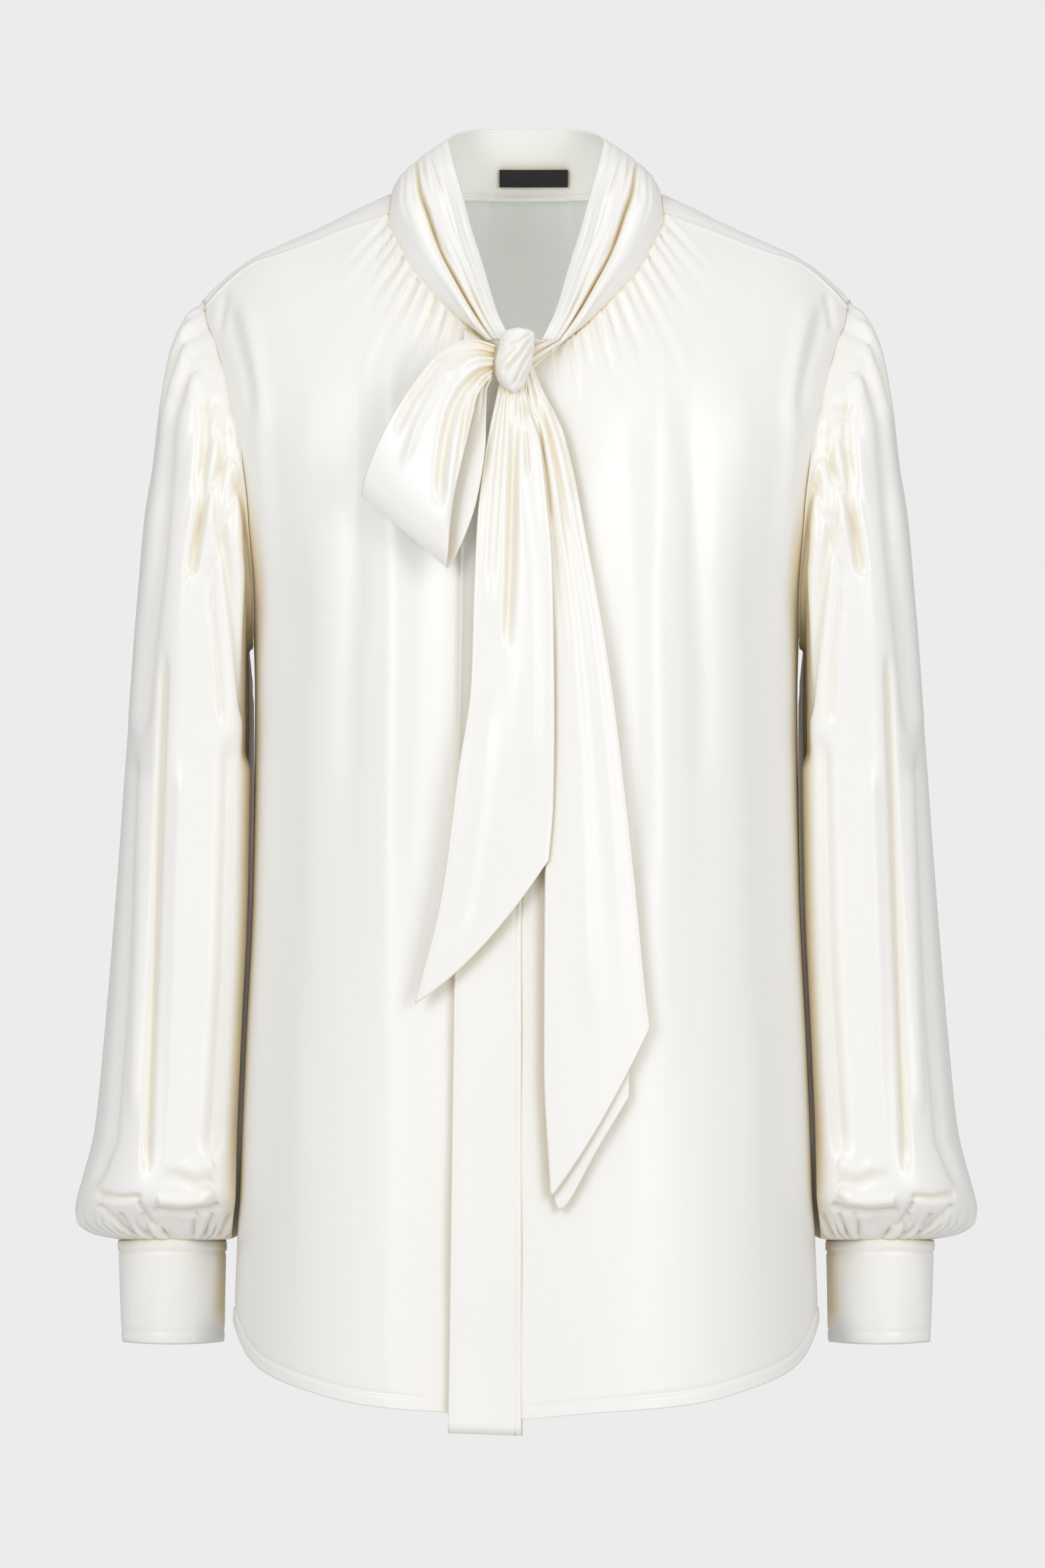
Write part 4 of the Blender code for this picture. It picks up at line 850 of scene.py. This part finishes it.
def sleeve_relief(keys, w, points):
    angle = (np.degrees(2 * np.pi * keys) + 180) % 360 - 180
    x, z = points[..., 0], points[..., 2]
    ahead = ease((angle - 3) / 9) * ease((177 - angle) / 9)
    behind = ease((-angle - 3) / 9) * ease((177 + angle) / 9)
    creases = dict(SLEEVE_CREASES)
    for number, (start_x, end_x) in enumerate(PUFF_FAN.rows):
        creases["fan %d" % number] = (1.2, 1.6 + 0.8 * uneven(number, 4), (start_x, -611), (end_x, -597))
    lift = ahead * relief(x, z, creases, 0.07) + 0.8 * behind * relief(x + 0.004, z - 0.006, creases, 0.07)
    top = ease((140 - np.abs(angle)) / 30)
    uneven_gathers = 0.75 + 0.45 * np.sin(7.3 * keys * 2 * np.pi) * np.sin(2.9 * keys * 2 * np.pi + 1)
    reach = 0.075 + 0.05 * np.sin(5 * keys * 2 * np.pi + 0.6)
    cap = mix(0.0008, 0.0021, ease(w / 0.03)) * np.exp(-((w / reach) ** 2)) * uneven_gathers
    phase = 2 * np.pi * (CAP_GATHERS * keys + 0.30 * np.sin(2 * np.pi * 5 * keys))
    lift = lift + cap * top * sharp_wave(phase)
    lift = lift + 0.0004 * top * np.exp(-((w / 0.012) ** 2)) * sharp_wave(2 * np.pi * 90 * keys)
    lift = lift + 0.0030 * bell(w - 0.05, 0.05) * top * ease(w / 0.02)
    low = 0.45 + 0.4 * np.sin(3 * keys * 2 * np.pi + 0.8) * np.sin(8 * keys * 2 * np.pi)
    height = mix(0.0006, 0.0018, ease((1 - w) / 0.006)) * np.exp(-(((1 - w) / 0.022) ** 2)) * (0.5 + low)
    phase = 2 * np.pi * (CUFF_GATHERS * keys + 0.35 * np.sin(2 * np.pi * 7 * keys))
    return lift + height * sharp_wave(phase)


# %% Build the sleeves
def grid_normals(points, closed=True):
    """Unit normals of a grid of rows by columns."""
    down = np.gradient(points, axis=0)
    if closed:
        over = (np.roll(points, -1, axis=1) - np.roll(points, 1, axis=1)) / 2
    else:
        over = np.gradient(points, axis=1)
    return unit(np.cross(over, down))


def build_sleeve(name, node, side):
    columns = 216
    keys = (np.arange(columns) / columns)[None, :]
    w = np.unique(np.concatenate([
        np.linspace(0, 0.03, 9), np.linspace(0.03, 0.30, 50), np.linspace(0.30, 0.88, 56), np.linspace(0.88, 1.0, 58),
    ]))[:, None]
    keys, w = np.broadcast_arrays(keys, w)
    points = sleeve_surface(keys, w)
    normal = grid_normals(points)
    centre = points.mean(axis=1, keepdims=True)
    normal *= np.sign((normal * (points - centre)).sum(axis=-1, keepdims=True))
    lift = sleeve_relief(keys, w, points) * ease(w / 0.012)
    raised = points + normal * lift[..., None]
    angle = np.abs((360 * keys + 180) % 360 - 180)
    free = (ease((raised[..., 2] + 0.27) / 0.06) * ease((150 - angle) / 25))[..., None]
    points = mix(clear_of_torso(raised, (SLEEVE_CLEAR + 0.0008) * ease(w / 0.018)), raised, free)
    theta, sigma = armhole_loop(keys[0])
    seam, out = torso(theta, sigma), torso_normal(theta, sigma)
    tangent = unit(np.roll(seam, -1, axis=0) - np.roll(seam, 1, axis=0))
    away = unit(np.cross(tangent, out))
    away *= np.sign((away * (seam.mean(axis=0) - seam)).sum(axis=1, keepdims=True))
    under = ease((np.minimum(keys[0], 1 - keys[0]) - 0.17) / 0.09)[:, None]
    points[0] = seam - away * 0.0030 - out * 0.0016 * (1 - under) + out * 0.0014 * under
    points[..., 2] = np.maximum(points[..., 2], SLEEVE_END_Z)
    points[-1, :, 2] = SLEEVE_END_Z
    points = mirrored(points, side)
    middle = points.mean(axis=1).mean(axis=0)
    obj = sheet_object(name, points, SATIN, closed=True, outside=lambda p: (p - middle) * np.array([1.0, 1.0, 0.0]))
    finish_piece(obj, node)
    return obj


LEFT_SLEEVE = build_sleeve("left_sleeve_cloth", "left_sleeve", 1)
RIGHT_SLEEVE = build_sleeve("right_sleeve_cloth", "right_sleeve", -1)

# %% [markdown]
# ## The cuffs
# A cuff is a deep double band whose ends lap at the back, where shell buttons close it.

# %% Build the cuffs
CUFF_X, CUFF_Y = 0.2120, 0.0300
CUFF_TOP_Z, CUFF_HEM_Z = -0.6135, -0.6745
CUFF_TOP_RADIUS, CUFF_HEM_RADIUS = 0.0325, 0.0308
CUFF_LAP_TURN, CUFF_LAP_START, CUFF_LAP_STEP = math.radians(34), math.radians(245), 0.0022


def cuff_points(columns=136, rows=42):
    t, v = np.linspace(0, 1, columns)[None, :], np.linspace(0, 1, rows)[:, None]
    turn = t * (2 * np.pi + CUFF_LAP_TURN) - CUFF_LAP_TURN
    arch = 0.0020 * np.maximum(np.sin(CUFF_LAP_START + turn), 0) ** 2
    z = mix(CUFF_TOP_Z, CUFF_HEM_Z, v) + arch * (1 - v) - 0.6 * arch * v
    step = -CUFF_LAP_STEP * (1 - ease((turn - 0.02) / 0.45))
    stitch = -0.0007 * bell(v - 0.125, 0.010) - 0.0007 * bell(v - 0.885, 0.010) + 0.0004 * ease((0.115 - v) / 0.02)
    soft = 0.0006 * np.sin(3 * turn + 2 * v) * np.sin(np.pi * v) + 0.0005 * np.sin(7 * turn + 4 * v)
    edge = -0.0006 * bell(v, 0.02) - 0.0006 * bell(v - 1, 0.02)
    radius = mix(CUFF_TOP_RADIUS, CUFF_HEM_RADIUS, v) + step + stitch + soft * 0.6 + edge
    angle = CUFF_LAP_START + turn
    return np.stack([CUFF_X + radius * np.cos(angle), CUFF_Y - radius * np.sin(angle), z], axis=-1)


def build_cuff(name, node, side):
    points = mirrored(cuff_points(), side)
    axis = np.array([side * CUFF_X, CUFF_Y, 0.0])
    outside = lambda p: (p - axis) * np.array([1.0, 1.0, 0.0])
    obj = sheet_object(name, points, SATIN, thickness=0.0015, outside=outside)
    finish_piece(obj, node)
    return obj


LEFT_CUFF = build_cuff("left_cuff_cloth", "left_cuff", 1)
RIGHT_CUFF = build_cuff("right_cuff_cloth", "right_cuff", -1)

# %% [markdown]
# ## The collar
# The band stands at the back of the neck and rolls over towards the knot in front. Its folds run
# along it, so each is a crease at one share of the band's width.

# %% The form of the collar
COLLAR = Table(
    "s turn top_x top_y top_z roll groove",
    (0.00, 0.00, 0.0000, 0.0500, 0.0530, 0.0010, 0.0000),
    (0.12, 0.14, 0.0250, 0.0440, 0.0530, 0.0015, 0.0000),
    (0.24, 0.28, 0.0400, 0.0260, 0.0510, 0.0030, 0.0000),
    (0.34, 0.40, 0.0465, 0.0060, 0.0450, 0.0050, 0.0008),
    (0.44, 0.48, 0.0435, -0.0150, 0.0330, 0.0070, 0.0025),
    (0.54, 0.55, 0.0390, -0.0340, 0.0170, 0.0085, 0.0032),
    (0.66, 0.65, 0.0330, -0.0560, -0.0060, 0.0090, 0.0032),
    (0.78, 0.76, 0.0250, -0.0780, -0.0320, 0.0080, 0.0028),
    (0.90, 0.87, 0.0170, -0.0980, -0.0590, 0.0060, 0.0020),
    (1.00, 0.935, 0.0086, -0.1146, -0.0768, 0.0030, 0.0010),
)
COLLAR_SEAM_LIFT = 0.0010
COLLAR_CREASES = Table(
    # Share of the band's width at the side and at the knot, depth in metres, half width, where it starts
    "side knot depth width start",
    (0.50, 0.42, 0.0046, 0.024, 0.25),
    (0.47, 0.38, 0.0012, 0.060, 0.30),
    (0.24, 0.24, -0.0026, 0.130, 0.30),
    (0.76, 0.70, -0.0022, 0.120, 0.35),
    (0.14, 0.17, 0.0012, 0.026, 0.70),
    (0.64, 0.60, 0.0014, 0.028, 0.62),
    (0.86, 0.80, 0.0014, 0.028, 0.70),
)


COLLAR_WRINKLES = 22


def neck_point(turn):
    return torso(NECKLINE.read("theta", turn), NECKLINE.read("sigma", turn))


def collar_base(t, s):
    seam = neck_point(COLLAR.read("turn", s))
    top = np.stack([COLLAR.read(name, s) for name in ("top_x", "top_y", "top_z")], axis=-1)
    inward = unit((np.array([0.0, -0.005, 0.0]) - seam) * np.array([1.0, 1.0, 0.0]))
    seam = seam + inward * COLLAR_SEAM_LIFT + np.array([0.0, 0.0, COLLAR_SEAM_LIFT])
    return mix(seam, top, t[..., None])


def collar_surface(t, s):
    t, s = np.broadcast_arrays(np.asarray(t, float), np.asarray(s, float))
    step = 1e-3
    across = collar_base(np.ones_like(t), s) - collar_base(np.zeros_like(t), s)
    ahead = collar_base(t, np.clip(s + step, 0, 1)) - collar_base(t, np.clip(s - step, 0, 1))
    roll = COLLAR.read("roll", s) * np.sin(np.pi * np.clip(t, 0, 1)) ** 0.8
    groove = np.zeros(t.shape)
    for side, knot, depth, width, start in COLLAR_CREASES.rows:
        centre = mix(side, knot, ease((s - 0.4) / 0.6))
        groove = groove + depth * bell(t - centre, width) * ease((s - start) / 0.3)
    groove = groove * mix(1.0, 0.35, ease((s - 0.86) / 0.14))
    for number in range(COLLAR_WRINKLES):
        middle, height = 0.35 + 0.6 * uneven(number, 8), 0.0005 + 0.0007 * uneven(number, 9)
        slope, centre = 0.5 - 1.0 * uneven(number, 10), 0.10 + 0.8 * uneven(number, 11)
        line = bell(t - centre - slope * (s - middle), 0.018 + 0.02 * uneven(number, 12))
        groove = groove + height * line * bell(s - middle, 0.05 + 0.09 * uneven(number, 13))
    groove = groove + 0.0016 * (t < 0)
    return collar_base(t, s) + unit(np.cross(across, ahead)) * (roll - groove)[..., None]


BESIDE_KNOT_LOW, BESIDE_KNOT_HIGH = (0.0005, -0.0960, 0.0110), (0.0020, -0.0735, 0.0180)
BESIDE_KNOT_RISE, BESIDE_KNOT_ROWS = 0.0030, 16


def rows_to_knot(keys, last):
    """The band's last stretch on the wearer's left, which runs on to the side of the knot."""
    x, z, off = (mix(low, high, keys) for low, high in zip(BESIDE_KNOT_LOW, BESIDE_KNOT_HIGH))
    end = np.stack([x, front_y(x, z) - off, z], axis=-1)
    grid = []
    for share in np.arange(1, BESIDE_KNOT_ROWS + 1) / BESIDE_KNOT_ROWS:
        row = mix(last, end, share)
        folds = 0.0011 * sharp_wave(2 * np.pi * 3.5 * keys) * ease(share / 0.4)
        row[:, 1] -= BESIDE_KNOT_RISE * math.sin(math.pi * min(share + 0.1, 1.0)) + folds
        grid.append(row)
    return np.array(grid)


# %% Build the collar
t = np.concatenate([[-0.06, -0.03], np.linspace(0, 1, 65)])[None, :]
s = np.linspace(0, 1, 140)[:, None]
half = collar_surface(t, s)
points = np.concatenate([mirrored(half[:0:-1], -1), half, rows_to_knot(t[0], half[-1])], axis=0)
COLLAR_CLOTH = sheet_object("collar_cloth", points, SATIN, thickness=0.0012, outside=lambda p: p - np.array([0.0, -0.01, -0.04]))
finish_piece(COLLAR_CLOTH, "tie_collar")
print("collar area", round(area_of(points), 4))

# %% [markdown]
# ## The bow
# Tails and loop hang just in front of the chest: each is a ruled strip between two edges, with long
# soft folds that start at the knot.

# %% The tails
TAIL_WALL = 0.0010
SHORT_TAIL = Table(
    "v left_x left_z right_x right_z off",
    (0.00, -0.0140, -0.0960, 0.0000, -0.0950, 0.0150),
    (0.03, -0.0168, -0.1085, -0.0002, -0.1075, 0.0130),
    (0.10, -0.0240, -0.1420, 0.0078, -0.1370, 0.0125),
    (0.22, -0.0285, -0.1800, 0.0117, -0.1700, 0.0125),
    (0.36, -0.0307, -0.2250, 0.0150, -0.2070, 0.0125),
    (0.52, -0.0325, -0.2800, 0.0161, -0.2530, 0.0115),
    (0.68, -0.0405, -0.3350, 0.0166, -0.3020, 0.0115),
    (0.84, -0.0500, -0.4060, 0.0160, -0.3500, 0.0105),
    (1.00, -0.0660, -0.4705, 0.0133, -0.3850, 0.0095),
)
LONG_TAIL = Table(
    "v left_x left_z right_x right_z back_x back_z off",
    (0.00, -0.0060, -0.0930, 0.0030, -0.0880, 0.0010, -0.0900, 0.0110),
    (0.03, -0.0040, -0.1075, 0.0085, -0.1026, 0.0050, -0.1050, 0.0084),
    (0.08, 0.0030, -0.1450, 0.0225, -0.1320, 0.0160, -0.1360, 0.0070),
    (0.20, 0.0080, -0.2000, 0.0360, -0.1950, 0.0280, -0.2010, 0.0064),
    (0.36, 0.0110, -0.2700, 0.0500, -0.2750, 0.0400, -0.2850, 0.0064),
    (0.52, 0.0130, -0.3450, 0.0590, -0.3480, 0.0490, -0.3580, 0.0064),
    (0.68, 0.0124, -0.4250, 0.0655, -0.4080, 0.0560, -0.4200, 0.0064),
    (0.85, 0.0121, -0.5050, 0.0705, -0.4600, 0.0610, -0.4800, 0.0064),
    (1.00, 0.0160, -0.5840, 0.0735, -0.4840, 0.0612, -0.5250, 0.0064),
)
LONG_TIP = Table("t dz", (0.0, 0.0), (0.06, -0.0125), (0.16, -0.0160), (0.55, -0.0075), (1.0, 0.0))


def tail_layer(table, t, v, left, right, end_bow, tip=None):
    x = mix(table.read(left + "_x", v), table.read(right + "_x", v), t)
    z = mix(table.read(left + "_z", v), table.read(right + "_z", v), t)
    z = z - end_bow * 4 * t * (1 - t) * v**6
    if tip is not None:
        z = z + tip.read("dz", t) * ease((v - 0.75) / 0.25)
    return x, z


def tail_folds(t, v, folds):
    """Folds that leave the knot: share across, height, half width and how far down they go."""
    lift = 0.0
    for centre, height, width, reach in folds:
        spread = mix(centre * 0.85 + 0.075, centre, ease(v / 0.3))
        lift = lift + height * np.exp(-((v / reach) ** 2)) * bell(t - spread, width)
    return lift


SHORT_FOLDS = ((0.12, 0.0016, 0.07, 0.30), (0.34, 0.0018, 0.08, 0.28), (0.62, 0.0020, 0.10, 0.70), (0.86, 0.0014, 0.07, 0.30))
SHORT_STROKES = {
    "deep": (2.6, 3.6, (-4.5, -104), (-6.5, -135), (-8, -165), (-9.5, -215), (-12, -270)),
    "beside the loop": (2.6, 1.5, (-12, -104), (-15, -140), (-19, -190), (-22, -235)),
    "crease at the knot": (1.2, 1.6, (-0.1, -109), (-0.1, -131), (1.5, -160)),
    "ridge": (4.5, -1.6, (-1, -150), (3, -210), (4, -290), (2, -350)),
    "low trough": (6.0, 1.5, (-20, -280), (-27, -350), (-36, -410), (-44, -440)),
}
LONG_STROKES = {
    "inner": (1.3, 1.4, (3, -98), (7, -120), (12, -155), (15, -190)),
    "middle": (1.6, 1.5, (4, -97), (11, -120), (19, -155), (25, -205)),
    "outer": (1.2, 1.0, (6, -97), (14, -115), (24, -145), (31, -180)),
    "ridge": (6.0, -1.4, (22, -240), (29, -330), (34, -420), (38, -490)),
}
LONG_FOLDS = ((0.18, 0.0012, 0.10, 0.5), (0.48, 0.0020, 0.10, 0.55), (0.80, 0.0018, 0.09, 0.6))


def strip_rows(count):
    return np.linspace(0, 1, count) ** 1.1


t, v = np.linspace(0, 1, 61)[None, :], strip_rows(220)[:, None]
x, z = tail_layer(SHORT_TAIL, t, v, "left", "right", 0.009)
lift = tail_folds(t, v, SHORT_FOLDS) + relief(x, z, SHORT_STROKES) + 0.0007 * (bell(t, 0.02) + bell(t - 1, 0.02)) + 0.0006 * np.sin(9 * v + 4 * t)
points = np.stack([x, front_y(x, z) - SHORT_TAIL.read("off", v) - lift, z], axis=-1)
SHORT = sheet_object("short_tail_cloth", points, SATIN, thickness=TAIL_WALL, outside=lambda p: np.array([0.0, -1.0, 0.0]))
finish_piece(SHORT, "tie_tail_short")

t, v = np.linspace(0, 1, 51)[None, :], strip_rows(230)[:, None]
off = LONG_TAIL.read("off", v)
x, z = tail_layer(LONG_TAIL, t, v, "left", "right", 0.006)
lift = tail_folds(t, v, LONG_FOLDS) + relief(x, z, LONG_STROKES) + 0.0006 * bell(t - 1, 0.02) + 0.0005 * np.sin(8 * v + 3 * t + 1)
front = np.stack([x, front_y(x, z) - off - 0.0012 - lift, z], axis=-1)
t_back = np.linspace(0, 1, 31)[None, :]
x, z = tail_layer(LONG_TAIL, t_back, v, "left", "back", 0.0, LONG_TIP)
back = np.stack([x + 0.0004, front_y(x, z) - off + 0.0010, z], axis=-1)
turn = np.linspace(0, np.pi, 8)[1:-1]
middle, reach = (front[:, 0] + back[:, 0]) / 2, (back[:, 0] - front[:, 0]) / 2
round_edge = np.stack([middle - reach * math.cos(a) + np.array([-0.0012 * math.sin(a), 0, 0]) for a in turn], axis=1)
points = np.concatenate([front[:, ::-1], round_edge, back], axis=1)
LONG = sheet_object("long_tail_cloth", points, SATIN, thickness=TAIL_WALL * 0.7, outside=None)
finish_piece(LONG, "tie_tail_long")
print("tails built")

# %% The bow's loop
LOOP = Table(
    "s a_x a_z b_x b_z off",
    (0.00, -0.0184, -0.0800, -0.0206, -0.0970, 0.0212),
    (0.06, -0.0330, -0.0760, -0.0260, -0.1030, 0.0270),
    (0.14, -0.0500, -0.0830, -0.0300, -0.1130, 0.0300),
    (0.24, -0.0690, -0.1050, -0.0380, -0.1450, 0.0310),
    (0.34, -0.0860, -0.1330, -0.0440, -0.1780, 0.0290),
    (0.43, -0.0965, -0.1600, -0.0465, -0.2020, 0.0245),
    (0.475, -0.0980, -0.1690, -0.0475, -0.2110, 0.0185),
    (0.52, -0.0965, -0.1670, -0.0465, -0.2120, 0.0150),
    (0.60, -0.0890, -0.1480, -0.0400, -0.2010, 0.0145),
    (0.72, -0.0720, -0.1180, -0.0290, -0.1700, 0.0155),
    (0.84, -0.0500, -0.0930, -0.0240, -0.1330, 0.0172),
    (0.93, -0.0330, -0.0850, -0.0240, -0.1080, 0.0178),
    (1.00, -0.0220, -0.0850, -0.0210, -0.0990, 0.0184),
)
LOOP_STROKES = {
    "upper": (3.2, 4.2, (-22, -90), (-30, -97), (-38, -106), (-44, -118), (-48, -135), (-50.5, -155), (-51.5, -180)),
    "lower": (2.4, 3.6, (-21, -95), (-27, -101), (-32, -108), (-35.5, -120), (-38, -138), (-41, -158), (-46, -205)),
    "short": (1.3, 2.0, (-22, -97), (-26.5, -103), (-30, -118)),
    "rim": (2.2, 2.2, (-34, -82), (-52, -90), (-68, -112), (-80, -136)),
    "rim ridge": (2.6, -1.8, (-30, -84), (-50, -98), (-64, -125), (-74, -155)),
}
t, s = np.linspace(0, 1, 61)[None, :], np.linspace(0, 1, 260)[:, None]
x = mix(LOOP.read("a_x", s), LOOP.read("b_x", s), t)
z = mix(LOOP.read("a_z", s), LOOP.read("b_z", s), t)
near_knot = np.exp(-((np.minimum(s, 1 - s) / 0.17) ** 2))
pleats = 0.0019 * np.cos(2 * np.pi * 2.0 * t) * near_knot + 0.0014 * np.cos(2 * np.pi * 4.5 * t + 1) * near_knot**2
long_folds = -relief(x, z, LOOP_STROKES)
y = front_y(x, z) - LOOP.read("off", s) - np.where(s < 0.47, pleats - long_folds, -0.5 * pleats)
points = np.stack([x, y, z], axis=-1)
LOOP_CLOTH = sheet_object("loop_cloth", points, SATIN, thickness=TAIL_WALL, outside=None)
finish_piece(LOOP_CLOTH, "tie_loop")
print("loop area", round(area_of(points), 4))

# %% [markdown]
# ## The knot
# The knot starts as a sphere. Its rings are moved onto the knot's outline, and diagonal folds are pressed in.

# %% The knot
KNOT = Table(
    # Height, and the left and right edges at that height, all in metres
    "fall left right",
    (0.0685, -0.0080, -0.0020),
    (0.0700, -0.0138, 0.0050),
    (0.0773, -0.0158, 0.0052),
    (0.0830, -0.0174, 0.0046),
    (0.0890, -0.0188, 0.0036),
    (0.0950, -0.0186, 0.0020),
    (0.0995, -0.0175, 0.0003),
    (0.1048, -0.0138, -0.0017),
    (0.1080, -0.0095, -0.0050),
)
KNOT_OFF, KNOT_DEEP = 0.0185, 0.0125
KNOT_STROKES = {
    "lip": (1.0, 1.8, (-12, -79.5), (-4, -76.5), (5, -71)),
    "first": (1.1, 2.4, (4, -74), (-4, -85), (-15, -97)),
    "second": (1.0, 2.2, (4.7, -79), (-1, -89), (-9.5, -106)),
    "third": (0.9, 1.8, (3, -91), (-1, -97), (-4, -103)),
    "left": (1.0, 1.6, (-5, -79), (-12, -86), (-18, -92)),
}


def knot_points(directions):
    """Points of the unit sphere moved onto the knot, one row each."""
    up = np.clip(directions[:, 2], -1, 1)
    z = mix(-0.1080, -0.0685, (1 + np.sin(np.arcsin(up) * 0.98) ** 1) / 2)
    around = np.maximum(np.hypot(directions[:, 0], directions[:, 1]), 1e-6)
    ring = np.minimum(around / 0.55, 1.0) ** 0.8
    left, right = KNOT.read("left", -z), KNOT.read("right", -z)
    x = (left + right) / 2 + (right - left) / 2 * directions[:, 0] / around * ring
    y = float(front_y(-0.0068, -0.0890)) - KNOT_OFF + KNOT_DEEP * directions[:, 1] / around * around**0.7
    lift = relief(x, z, KNOT_STROKES) * (directions[:, 1] < 0)
    return np.stack([x, y - lift, z], axis=1)


bpy.ops.mesh.primitive_uv_sphere_add(segments=128, ring_count=96, radius=1.0)
KNOT_CLOTH = bpy.context.object
KNOT_CLOTH.name = "knot_cloth"
directions = unit(np.array([vertex.co[:] for vertex in KNOT_CLOTH.data.vertices]))
KNOT_CLOTH.data.vertices.foreach_set("co", knot_points(directions).astype(np.float32).reshape(-1))
KNOT_CLOTH.data.update()
KNOT_CLOTH.data.materials.append(SATIN)
KNOT_CLOTH.data.shade_smooth()
finish_piece(KNOT_CLOTH, "tie_knot")
print("knot faces", len(KNOT_CLOTH.data.polygons))

# %% [markdown]
# ## The label and the buttons
# The label is a bare black woven tab sewn inside the back of the collar. The buttons are the solid
# model's own, with a shell finish.

# %% Label and buttons
label_black, label_shader = new_material("label_weave", "141416", 0.75, Sheen_Weight=0.2)
coords = add_node(label_black, "TexCoord")
ribs = add_node(label_black, "TexWave", {"bands_direction": "Z"}, Vector=coords.outputs["Object"], Scale=1000 / 0.5 / 6.28)
bump = add_node(label_black, "Bump", Height=ribs.outputs["Fac"], Strength=0.3, Distance=0.0002)
link(label_black, bump.outputs["Normal"], label_shader.inputs["Normal"])
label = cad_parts["neck_label"]
label.data.materials.clear()
label.data.materials.append(label_black)

shell, shell_shader = new_material("shell_button", "EDE8DA", 0.16, Coat_Weight=0.6, Coat_Roughness=0.08)
coords = add_node(shell, "TexCoord")
cloud = add_node(shell, "TexNoise", Vector=coords.outputs["Object"], Scale=420.0, Detail=3.0)
tint = add_node(shell, "ValToRGB", Fac=cloud.outputs["Fac"])
tint.color_ramp.elements[0].color = linear("DCD4C2")
tint.color_ramp.elements[1].color = linear("F6F2E8")
link(shell, tint.outputs["Color"], shell_shader.inputs["Base Color"])
for name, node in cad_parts.items():
    if "button" in name:
        node.data.materials.clear()
        node.data.materials.append(shell)
print("buttons:", [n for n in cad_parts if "button" in n])

# %% [markdown]
# ## Studio
# A pale world lights the blouse from all round and shows behind it, and large soft lights in front
# give the satin its sheen.

# %% Studio, lights and camera
scene = bpy.context.scene
scene.view_settings.view_transform = "Standard"
scene.cycles.diffuse_bounces = 5
world = bpy.data.worlds.new("pale_room")
world.use_nodes = True
room = world.node_tree.nodes["Background"]
room.inputs["Color"].default_value = linear("ECECEC")
path = world.node_tree.nodes.new("ShaderNodeLightPath")
strength = world.node_tree.nodes.new("ShaderNodeMapRange")
strength.inputs["To Min"].default_value, strength.inputs["To Max"].default_value = 0.60, 1.0
world.node_tree.links.new(path.outputs["Is Camera Ray"], strength.inputs["Value"])
world.node_tree.links.new(strength.outputs["Result"], room.inputs["Strength"])
scene.world = world

bpy.ops.mesh.primitive_circle_add(vertices=96, radius=2.4, fill_type="NGON", location=(0, 0, -1.35))
floor = bpy.context.object
floor.name = "floor"
floor_paint, _ = new_material("floor_paint", "E4E4E4", 0.8)
floor.data.materials.append(floor_paint)


def soft_light(name, place_at, size, power, target=(0, 0, -0.35)):
    data = bpy.data.lights.new(name, "AREA")
    data.shape, data.size, data.size_y, data.energy = "RECTANGLE", size[0], size[1], power
    lamp = bpy.data.objects.new(name, data)
    scene.collection.objects.link(lamp)
    lamp.location = place_at
    lamp.rotation_euler = (Vector(target) - Vector(place_at)).to_track_quat("-Z", "Y").to_euler()
    return lamp


soft_light("front_left", (-1.8, -3.0, 0.7), (1.3, 2.2), 37)
soft_light("front_right", (2.0, -2.9, 0.5), (1.3, 2.2), 34)
soft_light("over_neck", (0, 0.0, 0.75), (0.4, 0.4), 1.0, target=(0, 0.02, 0))
soft_light("inside_neck", (0, -0.035, -0.24), (0.16, 0.10), 0.13, target=(0, 0.075, 0.0))

LENS, SENSOR_LONG = 600, 36
SENSOR_SHORT = SENSOR_LONG * 1568 / 2353
FRAME_WIDE = 0.621
camera_data = bpy.data.cameras.new("camera")
camera_data.lens, camera_data.sensor_width, camera_data.sensor_fit = LENS, SENSOR_LONG, "AUTO"
camera_data.clip_end = 100
camera = bpy.data.objects.new("camera", camera_data)
scene.collection.objects.link(camera)
camera.location = (-0.0022, -0.12 - FRAME_WIDE * LENS / SENSOR_SHORT, -0.340)
camera.rotation_euler = (math.pi / 2, 0, 0)
scene.camera = camera
print("camera", [round(c, 3) for c in camera.location])
